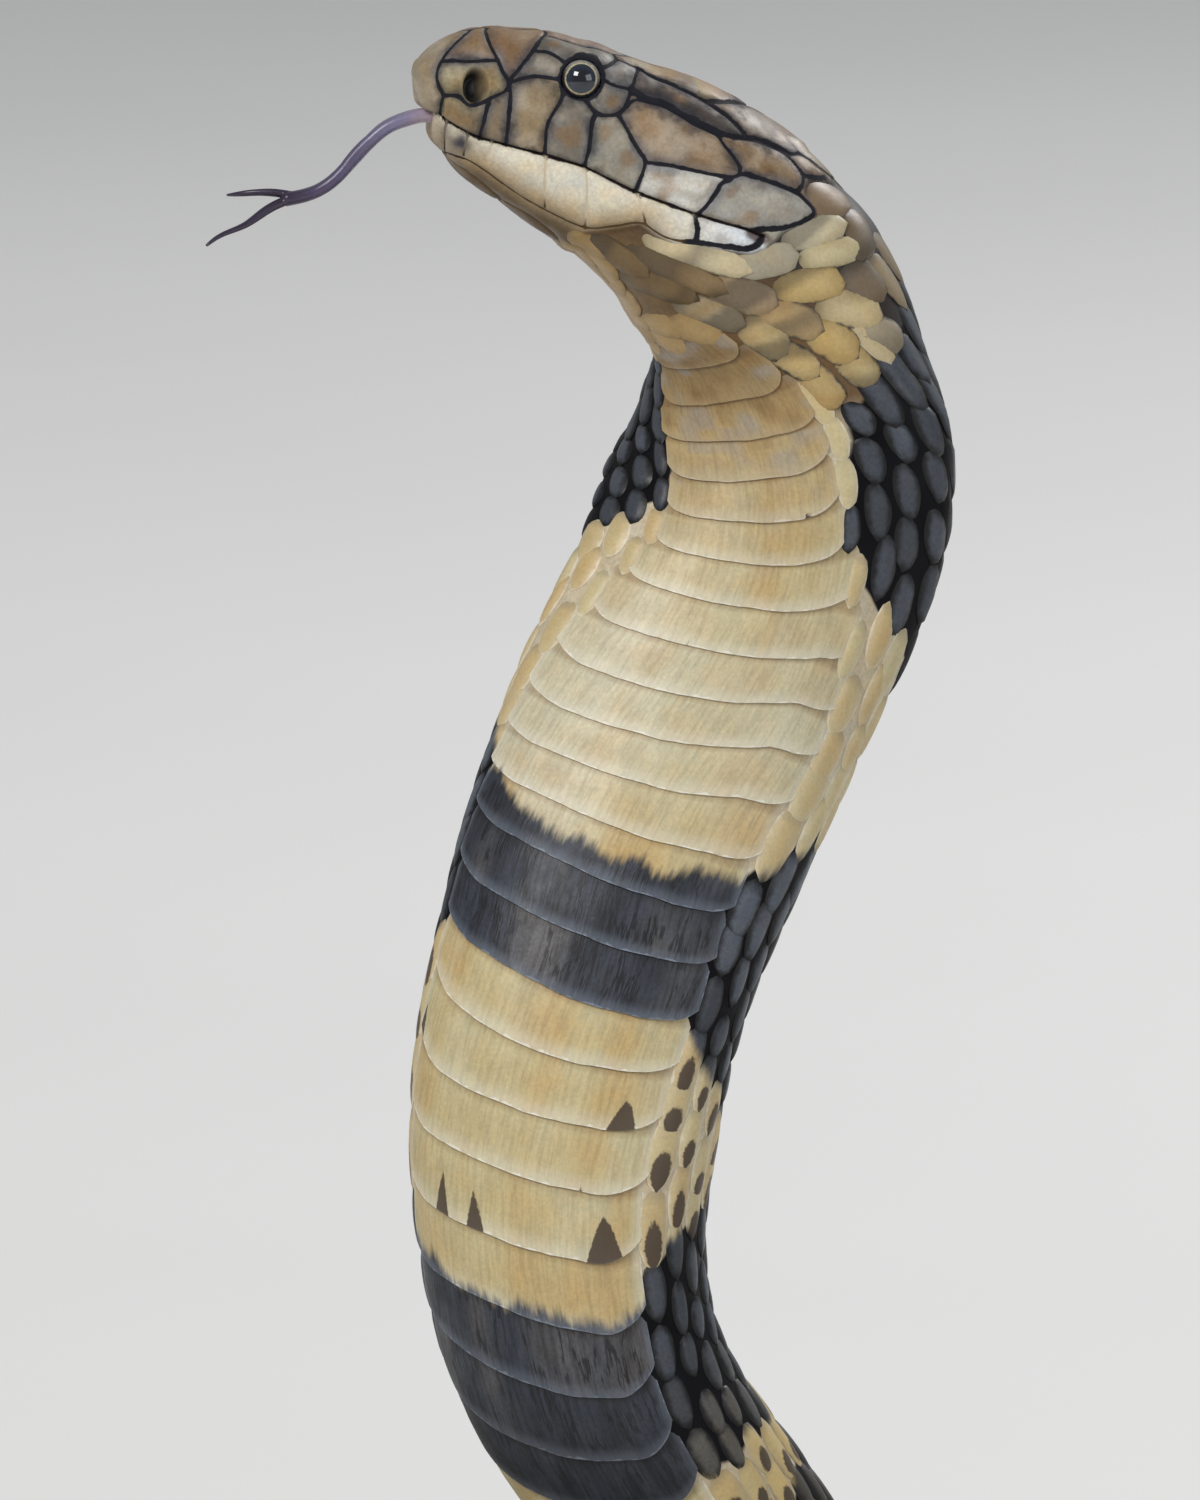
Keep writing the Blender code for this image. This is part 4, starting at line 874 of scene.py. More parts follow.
def skin_tones(s, share):
    """The stretched skin between the scales, where the pattern is pale and where it is dark. Under the throat and
    chin it is brown with painted shade.
    """
    grey, around = soft_noise(s * 0.3, share * 40, 6), flank(s, share)
    throat = ease(84, 74, s)
    pale = glazed(
        # brown under the throat and the chin, darkened by painted shade between the neck plates and under the chin;
        # the dark nape is its own colour
        PALE_SKIN, ((190, 166, 124), 0.6 * grey), ((104, 78, 48), throat),
        ((44, 38, 34), throat * ease(0.15, 0.4, around)), ((112, 90, 56), ease(64, 50, s) * ease(0.3, 0.0, around)),
    )
    return pale, mix(shade(8, 8, 11), shade(20, 20, 24), grey)


# %% [markdown]
# ## The colours of the head
# Every shield has a tone of its own, over which soft brown and cool grey clouds drift. The grey gathers near the
# grooves. A place on a shield and a tone are enough: the flood fill above finds the rest of the shield, on
# both sides. The ink of the grooves is not painted on the points, because a line finer than the faces would
# fray. Each point stores how near it is to a line, and the finish draws the line from that.

# %% Colours of the head
CROWN_TAN, CROWN_BROWN = shade(168, 140, 110), shade(122, 94, 68)
CROWN_COOL, CROWN_STRAW = shade(112, 114, 122), shade(168, 154, 108)
LIP_SAND, LIP_GREY = shade(160, 146, 116), shade(196, 192, 176)
# the chin's colour is tan, darkened by painted shade where the jaw turns under
JAW_CREAM, JAW_WHITE, CHIN_TAN_AND_SHADE = shade(220, 217, 204), shade(226, 232, 238), shade(96, 76, 46)
INK, JAW_INK, MOUTH_INK = shade(18, 19, 28), shade(194, 180, 156), shade(34, 24, 24)
LIP_TOP = [
    (3, 2), (9.3, 3.9), (11.3, 7.0), (17.3, 9.6), (22.5, 8.1), (24.5, 6.7), (28, 7.8), (31, 4.75), (33.7, 2.7),
    (44, 3.9), (46.5, 4.7), (48, 5.8), (55.6, 5.8), (59.2, 3.6), (60, 0),
]
JAW_LOW = [
    (3, -4), (5.75, -5.4), (12, -6.1), (18.5, -8), (28.5, -9.5), (35.9, -5.6), (41.2, -6.8), (52.3, -4.4), (54, -2),
]
SHIELD_TONES = [  # a place (p, q) on a shield that has a tone of its own, and that tone
    ((0.2, 3.8), (156, 142, 118)), ((3.5, 9.8), (142, 118, 88)), ((9.3, 10.7), (140, 110, 74)),
    ((3.0, 5.5), (150, 128, 100)), ((9.3, 7.0), (146, 136, 100)), ((14.9, 11.1), (144, 122, 88)),
    ((17.8, 15.4), (138, 116, 100)), ((26.2, 13.9), (142, 134, 116)), ((26.9, 10.2), (150, 138, 104)),
    ((31.7, 12.7), (104, 88, 66)), ((41.2, 11.8), (96, 86, 80)), ((44.4, 13.8), (120, 104, 94)),
    ((47.8, 13.5), (112, 98, 84)), ((35.5, 8.2), (150, 130, 104)), ((49.9, 8.6), (136, 114, 86)),
    ((5.9, 0.8), (148, 130, 92)), ((10.9, 0.5), (122, 106, 80)), ((15.0, 4.5), (140, 122, 94)),
    ((21.3, 2.6), (112, 108, 104)), ((27.5, 2.4), (146, 142, 130)), ((39.7, 0.5), (216, 215, 208)),
    ((50.5, 2.7), (160, 158, 152)),
]


def own_tones(tint):
    """Colours whole shields, on both sides alike."""
    for (p, q), tone in SHIELD_TONES:
        off = np.hypot(HEAD_SEEN[:, 0] - p, HEAD_SEEN[:, 1] - q)
        for side in (1, -1):
            mine = SHIELD == SHIELD[np.where(HALF == side, off, 99.0).argmin()]
            tint[mine] = tint[mine] * 0.2 + shade(*tone) * 0.8
    return tint


P, Q = HEAD_SEEN.T
FINE_CLOUDS = soft_noise(P * 0.8, Q * 0.8, 14)
JAW_EDGE = Q - on_rows(JAW_LOW, P)  # height over the jaw's lower edge
IS_JAW = (Q < mouth_height(P)) & (P < 54)


def crown_and_lips(p, q):
    """The tint over the mouth."""
    broad = soft_noise(p * 0.25, q * 0.25, 7)
    cool = soft_noise(p * 0.3, q * 0.3, 8) + 0.2 * (SHIELD_HUE - 0.5)
    crown = glazed(
        CROWN_TAN, (CROWN_BROWN, 0.75 * SHIELD_SHADE + 0.5 * (broad - 0.5)),
        (CROWN_STRAW, 0.6 * ease(0.5, 0.8, SHIELD_HUE * 0.5 + FINE_CLOUDS * 0.5)),
        (CROWN_COOL, 0.7 * ease(0.5, 0.8, cool)),
    )
    cool = ease(0.45, 0.85, soft_noise(p * 0.3, q * 0.25, 15)) * ease(48, 24, p)
    lip = glazed(
        LIP_SAND, (LIP_GREY, ease(12, 36, p) * (0.7 + 0.3 * SHIELD_SHADE)), (CROWN_COOL, 0.55 * cool),
        (CROWN_STRAW, 0.45 * ease(0.55, 0.85, FINE_CLOUDS) * (q > 0)),
    )
    tint = own_tones(np.where((q < on_rows(LIP_TOP, p))[:, None], lip, crown))
    warm, open_field = soft_noise(p * 0.45, q * 0.45, 17), ease(0.5, 1.5, GROOVE)
    cool = np.exp(-((GROOVE / 1.3) ** 2)) * (0.2 + 0.8 * ease(0.3, 0.75, soft_noise(p * 0.35, q * 0.35, 16)))
    return glazed(
        tint, ((128, 96, 54), 0.55 * ease(0.55, 0.85, warm) * open_field),
        ((186, 176, 158), 0.35 * ease(0.45, 0.15, warm) * open_field), ((96, 98, 108), 0.7 * cool),
    )


def jaw_and_chin(p, q):
    """The tint under the mouth: cream, tan towards the chin with painted shade where the jaw turns under, and two
    dark smudges below the snout.
    """
    smudge = np.exp(-(((p - 7.4) / 1.7) ** 2 + ((q + 3.4) / 1.5) ** 2))
    smudge = smudge + 0.5 * np.exp(-(((p - 4.4) / 1.2) ** 2 + ((q + 2.6) / 1.4) ** 2))
    return glazed(
        JAW_CREAM, (JAW_WHITE, ease(42.5, 44.5, p)), ((224, 206, 164), 0.5 * soft_noise(p * 0.25, q * 0.4, 12)),
        # towards the jaw's lower edge and under it: tan and brown, darkened by painted shade where the jaw turns
        # under
        ((176, 152, 112), 0.8 * ease(4.4, 0.8, JAW_EDGE) * ease(44, 34, p)),
        (CHIN_TAN_AND_SHADE, ease(1.8, -1.6, JAW_EDGE) * ease(46, 34, p)),
        ((62, 60, 68), 0.85 * smudge * (0.6 + 0.8 * FINE_CLOUDS)),
    )


def head_lines(p, q):
    """The colour of the lines near every point, how near they are, and how cloudy it is round them."""
    width = {"upper": 0.27 + 0.09 * ease(43, 50, p), "dark": 0.55, "jaw": 0.15, "mouth": 0.22}
    reach = {name: NEAR[name] / width[name] for name in width}
    last = ease(42.0, 43.2, p) * ease(54.5, 53.5, p)
    reach["jaw"] = reach["jaw"] / (1 + 1.4 * last)
    line = np.minimum(np.minimum(reach["upper"], reach["dark"]), np.minimum(reach["jaw"], reach["mouth"]))
    # the jaw's lines darken towards its lower edge, into the painted shade there
    jaw_ink_and_shade = mix(JAW_INK, shade(78, 60, 38), ease(2.0, 0.3, JAW_EDGE))
    ink = np.where((reach["jaw"] <= line)[:, None], mix(jaw_ink_and_shade, INK, np.maximum(last, 0.7 * (p < 9))), INK)
    ink = np.where((reach["mouth"] <= line)[:, None], MOUTH_INK, ink)
    cloud = np.where(IS_JAW, 0.08 + 0.9 * last * (NEAR["jaw"] < 2), 1.0)
    cloud = cloud * (1 - 0.5 * ease(26, 34, p) * (q < 5.5)) * (1 - 0.35 * ease(32, 26, p) * (q > 9))
    for side in (1, -1):
        off = HEAD_BASE - eye_centre(side)
        ring = np.linalg.norm(off - (off @ eye_axis(side))[:, None] * eye_axis(side), axis=1)
        ring = np.where(off @ eye_axis(side) > -3, ring, 99)
        line = np.minimum(line, np.maximum(0, ring - 2.9) / 0.5)
    behind = ease(-0.3, -1.0, INSIDE)
    return ink, line + FAR * behind, cloud * (1 - behind)


def head_tint(p, q):
    """The tint of every point of the head, with the nostril darkened by painted shade, the corner of the mouth and
    the dark band.
    """
    tint = np.where(IS_JAW[:, None], jaw_and_chin(p, q), crown_and_lips(p, q))
    hole, rear = nostril(HEAD_SEEN)
    from_corner = np.hypot((p - 52.6) / 2.0, (q + 2.3) / 0.9)
    band = ease(27, 30, p) * ease(52, 44, p) * ease(10.2, 11.6, q) * ease(15.6, 14.0, q - 0.12 * (28 - p))
    return glazed(
        # painted shade in the nostril: brown-grey over its inner wall and near black towards its front
        tint, ((92, 80, 62), 0.8 * ease(-0.05, 0.25, hole)),
        ((14, 10, 12), ease(0.0, 0.25, hole) * ease(0.8, 0.1, rear)),
        ((82, 58, 50), 0.85 * ease(1.3, 0.7, from_corner)),
        (INK, 0.5 * band * ease(0.25, 0.6, soft_noise(p * 0.5, q * 0.9, 18))),
    )


FAR = 30.0  # a distance at which no line is drawn
HEAD_TINT = head_tint(P, Q)
HEAD_INK, HEAD_LINE, HEAD_CLOUD = head_lines(P, Q)
print("mean colour of the crown:", HEAD_TINT[Q > 12].mean(0).round(2))

# %% [markdown]
# ## Building the skin
# Now the net becomes a mesh. Every point of it is put on the surface, sunk by the thickness of the coat or
# moved by the relief, and the faces are listed ring by ring. A subdivided cage would be lighter, but its points
# would not fall on the grooves. The last rings at the snout and the tail's tip are drawn in to a rounded end.

# %% Build the skin
def new_object(name, data):
    """An object of the scene, at the origin, that shows the data."""
    obj = bpy.data.objects.new(name, data)
    bpy.context.scene.collection.objects.link(obj)
    return obj


def make_mesh(name, points, faces):
    """A mesh object from points in millimetres."""
    mesh = bpy.data.meshes.new(name)
    mesh.from_pydata((np.asarray(points) * MM).tolist(), [], faces)
    mesh.validate()
    return new_object(name, mesh)


def paint(mesh, **layers):
    """Stores numbers or colours for each point of a mesh."""
    for name, values in layers.items():
        values = np.asarray(values, float)
        if values.ndim == 1:
            mesh.attributes.new(name, "FLOAT", "POINT").data.foreach_set("value", values.astype(np.float32))
        else:
            colours = np.concatenate([values, np.ones((len(values), 1))], 1).astype(np.float32)
            mesh.attributes.new(name, "FLOAT_COLOR", "POINT").data.foreach_set("color", colours.ravel())


def keep(mesh, **layers):
    """Stores three plain numbers for each point of a mesh."""
    for name, values in layers.items():
        values = np.asarray(values, np.float32).ravel()
        mesh.attributes.new(name, "FLOAT_VECTOR", "POINT").data.foreach_set("vector", values)


def skin_points():
    """Places of all the points of the net."""
    relief = np.full(len(NET_S), -COAT)
    relief[ON_HEAD] = HEAD_RELIEF
    points = surface(NET_S, turn_at(NET_S, NET_SHARE), relief)
    points[ON_HEAD] = settle_eye(points[ON_HEAD] + SNAP)
    lying = NET_S > FLOOR_START - 70.0
    points[lying, 2] = np.maximum(points[lying, 2], COAT)
    for end, way, bulge in ((SNOUT, -HEAD_BACK, 0.55), (TAIL_TIP, TAIL_WAY[-1], 1.4)):
        at = NET_S == end
        centre = points[at & (NET_SHRINK == 1.0)].mean(0)
        closing = at & (NET_SHRINK < 1.0)
        share = NET_SHRINK[closing][:, None]
        points[closing] = centre + (points[closing] - centre) * share + way * bulge * np.sqrt(1 - share**2)
    return points


def net_faces():
    """Faces between the rings, and the share round of each face corner."""
    counts = [count for _, count, _ in RINGS]
    start = np.concatenate([[0], np.cumsum(counts)])
    faces, shares = [], []
    for a, (n, m) in enumerate(zip(counts, counts[1:])):
        if n == m:
            for j in range(n):
                k = (j + 1) % n
                faces.append((start[a] + j, start[a + 1] + j, start[a + 1] + k, start[a] + k))
                shares += [j / n, j / n, (j + 1) / n, (j + 1) / n]
            continue
        i = j = 0
        while i < n or j < m:  # a strip of triangles between two rings of unlike counts
            if j == m or (i < n and (i + 1) / n <= (j + 1) / m):
                faces.append((start[a] + i % n, start[a + 1] + j % m, start[a] + (i + 1) % n))
                shares += [i / n, j / m, (i + 1) / n]
                i += 1
            else:
                faces.append((start[a] + i % n, start[a + 1] + j % m, start[a + 1] + (j + 1) % m))
                shares += [i / n, j / m, (j + 1) / m]
                j += 1
    return faces, np.array(shares)


NET_FACES, CORNER_SHARE = net_faces()
skin = make_mesh("cobra_skin", skin_points(), NET_FACES)
print("skin points and faces:", len(skin.data.vertices), len(skin.data.polygons))

# %% [markdown]
# ## Two charts of the skin
# A map maker cuts the globe open to print it flat. Here the skin is cut along the belly for one chart and
# along the back for the other, because scales that cross a cut would be torn. Both charts are UV maps: the
# first number is the distance along, the second the share of the way round. A third map folds the whole skin
# into a square, the head in a wide strip of its own, and is kept for baking the colours into an image.

# %% Charts and the folded map
CHART_START, CHART_LENGTH = -10.0, 2600.0  # the distance where the charts begin, and how much they hold
FOLD_START, FOLDS = 66.0, 5  # behind this distance the body is cut into so many strips
HEAD_STRIP, HEAD_FROM, HEAD_SPAN = 0.33, -4.0, 71.0  # the head's share of the folded map, and what it holds
MARGIN = 0.01


def chart_x(s):
    """The first number of a chart at the distances s."""
    return (np.asarray(s, float) - CHART_START) / CHART_LENGTH


def distance_on(chart):
    """The distances of places on a chart."""
    return chart[:, 0] * CHART_LENGTH + CHART_START


def folded(s, share, fold_s):
    """Places on the folded map. The strip is chosen by fold_s, so that one piece never falls on two strips."""
    s, share, fold_s = np.broadcast_arrays(*(np.asarray(v, float) for v in (s, share, fold_s)))
    strip = (TAIL_TIP - FOLD_START) / FOLDS + 1.0
    number = np.clip(np.floor((fold_s - FOLD_START) / strip), 0, FOLDS - 1)
    high = (1.0 - HEAD_STRIP) / FOLDS
    room = 1 - 2 * MARGIN
    u = MARGIN + room * (s - FOLD_START - number * strip) / strip
    v = HEAD_STRIP + high * (number + 0.04 + 0.92 * share)
    head_v = MARGIN + (s - HEAD_FROM) / HEAD_SPAN * (HEAD_STRIP - 2 * MARGIN)
    on_head = fold_s < FOLD_START
    return np.stack([np.where(on_head, MARGIN + room * share, u), np.where(on_head, head_v, v)], -1)


def add_map(mesh, name, places):
    """A UV map from a place for every face corner."""
    layer = mesh.uv_layers.new(name=name, do_init=False)
    layer.uv.foreach_set("vector", np.asarray(places, np.float32).ravel())


def corners_of(mesh):
    """The point that each face corner of a mesh stands on."""
    points = np.zeros(len(mesh.loops), np.int64)
    mesh.loops.foreach_get("vertex_index", points)
    return points


# the small rings that close the two ends count a little further out, so that they get room on the charts
drawn_in = 1 - NET_SHRINK
reach_s = NET_S - 1.2 * drawn_in * (NET_S == SNOUT) + 2.0 * drawn_in * (NET_S == TAIL_TIP)
corner_s = reach_s[corners_of(skin.data)]
face_of_corner = np.repeat(np.arange(len(NET_FACES)), [len(f) for f in NET_FACES])
face_s = np.bincount(face_of_corner, corner_s) / np.bincount(face_of_corner)
face_share = np.bincount(face_of_corner, CORNER_SHARE) / np.bincount(face_of_corner)
belly_up = CORNER_SHARE + np.where(face_share[face_of_corner] < 0.5, 0.5, -0.5)
flat_s = chart_s(corner_s, CORNER_SHARE)
add_map(skin.data, "OFBake", folded(flat_s, CORNER_SHARE, face_s[face_of_corner]))
add_map(skin.data, "back_chart", np.stack([chart_x(flat_s), CORNER_SHARE], -1))
add_map(skin.data, "belly_chart", np.stack([chart_x(flat_s), belly_up], -1))
print("maps:", [layer.name for layer in skin.data.uv_layers])

# %% Colours and ways out of the skin
pale, deep = skin_tones(NET_S, NET_SHARE)
line, cloud, ink = np.full(len(NET_S), FAR), np.zeros(len(NET_S)), np.tile(INK, (len(NET_S), 1))
behind = ease(0.4, -0.6, INSIDE)
pale[ON_HEAD] = mix(HEAD_TINT, pale[ON_HEAD], behind)
line[ON_HEAD], cloud[ON_HEAD], ink[ON_HEAD] = HEAD_LINE, HEAD_CLOUD, HEAD_INK
depth = np.where(NET_S < 60, -DEEPEST, dark_depth(chart_s(NET_S, NET_SHARE), NET_SHARE))
paint(skin.data, pale=pale, deep=deep, dark=depth, line=line, cloud=cloud, ink=ink)
lift = np.zeros(len(skin.data.vertices) * 3, np.float32)
skin.data.vertex_normals.foreach_get("vector", lift)
keep(skin.data, lift=lift)
skin.data.shade_smooth()
height = np.array([v.co.z for v in skin.data.vertices])
print("lowest point of the skin:", round(float(height.min()) / MM, 2), "mm")

# %% [markdown]
# ## One scale, many times
# A scale is a thin cushion: rounded, a little higher at its free rear edge, with a rim that goes down into
# the skin. It is modelled once, flat, two units long and two wide. A Geometry Nodes tree sets copies of it on
# the flat chart, each with its own length and width, and then lays the chart over the skin, so that every
# scale bends with the body. Placing thousands of pieces by hand would be hopeless, and painting scales on the
# skin would leave it smooth at the edge.

# %% The flat shapes
def scale_outline(x):
    """Half the width of a scale at x, from its root (-1) to its blunt point (1)."""
    return np.where(x < 0, (1 - np.abs(x) ** 2.6) ** 0.5, (1 - np.abs(x) ** 1.9) ** 0.62) * 0.94 + 0.06


def blunt_outline(x):
    """The same for the squarer plates of the neck."""
    return (1 - np.abs(x) ** 3.2) ** 0.45 * 0.95 + 0.05


def flat_shape(name, steps, columns, outline, top, ends=None):
    """A closed flat piece: a grid on top, a rim, and one face below."""
    points, faces, cells = [], [], []
    for i in range(steps + 1):
        for j in range(columns + 1):
            x, u = -1 + 2 * i / steps, -1 + 2 * j / columns
            y = u * (1.3 - 0.3 * u * u) if ends else u
            px, py = ends(x, y) if ends else (x, y * float(outline(np.float64(x))))
            points.append((px, py, top(x, y)))
            cells.append((x, y, 0.0))
    number = lambda i, j: i * (columns + 1) + j
    for i in range(steps):
        for j in range(columns):
            faces.append((number(i, j), number(i + 1, j), number(i + 1, j + 1), number(i, j + 1)))
    rim = [number(0, j) for j in range(columns + 1)] + [number(i, columns) for i in range(1, steps + 1)]
    rim += [number(steps, j) for j in range(columns - 1, -1, -1)] + [number(i, 0) for i in range(steps - 1, 0, -1)]
    low = len(points)
    for index in rim:
        points.append((points[index][0], points[index][1], -0.7))
        cells.append(cells[index])
    for a in range(len(rim)):
        b = (a + 1) % len(rim)
        faces.append((rim[b], low + b, low + a, rim[a]))
    faces.append([low + a for a in range(len(rim))])
    obj = make_mesh(name, np.array(points) / MM, faces)
    keep(obj.data, cell=cells)
    outward(obj.data)
    return obj


def outward(mesh):
    """Turns every face outwards and smooths the mesh."""
    bm = bmesh.new()
    bm.from_mesh(mesh)
    bmesh.ops.recalc_face_normals(bm, faces=bm.faces)
    bm.to_mesh(mesh)
    bm.free()
    mesh.shade_smooth()


def cushion(x, y):
    """The height of a scale that rises to its free rear edge."""
    dome = (1 - abs(y) ** 2.6) * (1 - abs(x) ** 3.2)
    return -0.15 + 0.50 * (x + 1) / 2 + 0.55 * dome + 0.2 * max(x, 0) ** 2 * (1 - y * y)


def pebble(x, y):
    """The height of the rounder scales that stand apart on the hood."""
    return -0.15 + 0.35 * (x + 1) / 2 + 0.85 * (1 - abs(y) ** 2.4) ** 0.8 * (1 - abs(x) ** 2.6) ** 0.8


def scute_ends(x, y):
    """The free rear edge of a scute is rounded off at its ends. Its front edge is straight."""
    rear = 1 - 0.55 * abs(y) ** 9
    return -1 + (rear + 1) * (x + 1) / 2, y


def scute_top(x, y):
    """The height of a scute: a wedge that is thickest at its rear edge."""
    return 0.12 + 0.70 * ((x + 1) / 2) ** 0.9 - 0.30 * abs(y) ** 14


fine_scale = flat_shape("fine_scale", 8, 6, scale_outline, cushion)
pebble_scale = flat_shape("pebble_scale", 8, 6, scale_outline, pebble)
plain_scale = flat_shape("plain_scale", 4, 4, scale_outline, cushion)
blunt_scale = flat_shape("blunt_scale", 10, 8, blunt_outline, cushion)
fine_scute = flat_shape("fine_scute", 10, 36, None, scute_top, scute_ends)
plain_scute = flat_shape("plain_scute", 4, 14, None, scute_top, scute_ends)
print("faces of a fine scale and a fine scute:", len(fine_scale.data.polygons), len(fine_scute.data.polygons))

# %% Helpers for node trees
def add(tree, kind, inputs=None, **settings):
    """A new node with its settings, its inputs given as values or as other nodes' outputs."""
    node = tree.nodes.new(kind)
    for key, value in settings.items():
        setattr(node, key, value)
    for key, value in (inputs or {}).items():
        if isinstance(value, bpy.types.NodeSocket):
            tree.links.new(value, node.inputs[key])
        else:
            node.inputs[key].default_value = value
    return node


def math_node(tree, operation, *values):
    return add(tree, "ShaderNodeMath", dict(enumerate(values)), operation=operation).outputs[0]


def attribute(tree, name, output="Color"):
    return add(tree, "ShaderNodeAttribute", attribute_name=name).outputs[output]


def times(tree, a, b):
    return math_node(tree, "MULTIPLY", a, b)


def plus(tree, a, b):
    return math_node(tree, "ADD", a, b)


def around_zero(tree, value, by):
    """A value from 0 to 1, moved to lie round 0 and drawn out by a factor."""
    return times(tree, math_node(tree, "SUBTRACT", value, 0.5), by)


def xyz(tree, vector):
    """The three parts of a vector."""
    return add(tree, "ShaderNodeSeparateXYZ", {0: vector}).outputs


def vector_of(tree, *parts):
    return add(tree, "ShaderNodeCombineXYZ", dict(enumerate(parts))).outputs[0]


# %% The tree that lays shapes over the skin
def tree_with_inputs(inputs):
    """An empty geometry tree with the named inputs."""
    tree = bpy.data.node_groups.new("lay_over_skin", "GeometryNodeTree")
    for name, kind in inputs:
        tree.interface.new_socket(name, in_out="INPUT", socket_type="NodeSocket" + kind)
    tree.interface.new_socket("Geometry", in_out="OUTPUT", socket_type="NodeSocketGeometry")
    return tree, add(tree, "NodeGroupInput").outputs


def wrap_tree():
    """Copies of the shape stand on the flat chart, and every point of them moves to its place over the skin."""
    tree, given = tree_with_inputs([
        ("Geometry", "Geometry"), ("Skin", "Object"), ("Shape", "Object"), ("Chart", "String"),
        ("Thickness", "Float"), ("Ragged", "Float"), ("Finish", "Material"),
    ])
    vectors = dict(data_type="FLOAT_VECTOR")
    named = lambda label: add(tree, "GeometryNodeInputNamedAttribute", {"Name": label}, **vectors).outputs[0]
    body = add(tree, "GeometryNodeObjectInfo", {"Object": given["Skin"]}).outputs["Geometry"]
    shape = add(tree, "GeometryNodeObjectInfo", {"Object": given["Shape"]}).outputs["Geometry"]
    copies = add(tree, "GeometryNodeInstanceOnPoints",
                 {"Points": given["Geometry"], "Instance": shape, "Scale": named("size")})
    real = add(tree, "GeometryNodeRealizeInstances", {"Geometry": copies.outputs[0]})
    place = add(tree, "GeometryNodeInputPosition").outputs[0]
    at, cell, root = xyz(tree, place), xyz(tree, named("cell")), xyz(tree, named("root"))
    across = vector_of(tree, times(tree, at[1], 22.0), root[2])  # root[2] is the piece's own draw
    wave = add(tree, "ShaderNodeTexNoise", {"Vector": across, "Scale": 1.0, "Detail": 2.0}).outputs[0]
    to_rear = math_node(tree, "MAXIMUM", cell[0], 0.0)
    wave = around_zero(tree, wave, times(tree, to_rear, given["Ragged"]))
    on_chart = vector_of(tree, plus(tree, at[0], wave), at[1])
    stored = add(tree, "GeometryNodeStoreNamedAttribute",
                 {"Geometry": real.outputs[0], "Name": "chart", "Value": on_chart}, domain="POINT", **vectors)
    uv, chart = named(given["Chart"]), named("chart")
    on_skin, out = (
        add(tree, "GeometryNodeSampleUVSurface", {"Mesh": body, "Value": value, "UV Map": uv, "Sample UV": chart},
            **vectors).outputs[0] for value in (place, named("lift"))
    )
    high = times(tree, at[2], given["Thickness"])
    moved = add(tree, "ShaderNodeVectorMath", {0: out, "Scale": high}, operation="SCALE").outputs[0]
    moved = xyz(tree, add(tree, "ShaderNodeVectorMath", {0: on_skin, 1: moved}, operation="ADD").outputs[0])
    over_floor = vector_of(tree, moved[0], moved[1], math_node(tree, "MAXIMUM", moved[2], 0.0))
    laid = add(tree, "GeometryNodeSetPosition", {"Geometry": stored.outputs[0], "Position": over_floor})
    dressed = add(tree, "GeometryNodeSetMaterial", {"Geometry": laid.outputs[0], "Material": given["Finish"]})
    add(tree, "NodeGroupOutput", {0: dressed.outputs[0]})
    return tree


WRAP = wrap_tree()
print("nodes in the tree:", len(WRAP.nodes))

# %% [markdown]
# ## Shared effects of the hide
# Four things are alike on all parts of the hide: cloudy blotches with a fine grain, thin streaks and cracks
# that run along the body, the ragged border between pale and dark, and the rim of a scale. Each is a shader
# node group, built once and set to its own strength in every material. The meshes only store how deep a
# point lies in the dark and how near it is to a rim, and the groups draw the crisp edge, so that an edge is
# finer than the faces. The groups give numbers. The shader stays in the material, where gloss is set.

# %% Node groups shared by the finishes
def shader_group(name, inputs, outputs):
    tree = bpy.data.node_groups.new(name, "ShaderNodeTree")
    for label, value in inputs:
        socket = tree.interface.new_socket(label, in_out="INPUT", socket_type="NodeSocketFloat")
        socket.default_value = value
    for label in outputs:
        tree.interface.new_socket(label, in_out="OUTPUT", socket_type="NodeSocketFloat")
    return tree, add(tree, "NodeGroupInput").outputs


def soft_step(tree, value, low, high, to=1.0):
    """0 below low and a soft rise to the last value at high."""
    limits = {0: value, 1: low, 2: high, 4: to}
    return add(tree, "ShaderNodeMapRange", limits, interpolation_type="SMOOTHSTEP").outputs[0]


def remap(tree, value, to, source=(0.0, 1.0)):
    """A value carried straight from one range to another."""
    return add(tree, "ShaderNodeMapRange", {0: value, 1: source[0], 2: source[1], 3: to[0], 4: to[1]}).outputs[0]


def object_place(tree):
    return add(tree, "ShaderNodeTexCoord").outputs["Object"]


def noise_at(tree, vector, size, detail=3.0, roughness=0.6):
    settings = {"Vector": vector, "Scale": size, "Detail": detail, "Roughness": roughness}
    return add(tree, "ShaderNodeTexNoise", settings).outputs[0]


def chart_noise(tree, along, across, detail=3.0):
    """Noise drawn out along the body, with so many draws over the whole length and the whole girth."""
    at = xyz(tree, attribute(tree, "chart", "Vector"))
    return noise_at(tree, vector_of(tree, times(tree, at[0], along), times(tree, at[1], across)), 1.0, detail, 0.62)


def blotch_group():
    sizes = [("Blotch Size", 220.0), ("Grain Size", 1900.0)]
    tree, given = shader_group("blotches_and_grain", sizes, ["Blotch", "Warm", "Grain"])
    at = object_place(tree)
    away = add(tree, "ShaderNodeVectorMath", {0: at, 1: (0.37, 0.11, 0.23)}, operation="ADD").outputs[0]
    blotch = soft_step(tree, noise_at(tree, at, given["Blotch Size"], 4.0), 0.36, 0.66)
    warm = soft_step(tree, noise_at(tree, away, given["Blotch Size"], 3.0), 0.40, 0.68)
    add(tree, "NodeGroupOutput", {0: blotch, 1: warm, 2: noise_at(tree, at, given["Grain Size"], 2.0)})
    return tree


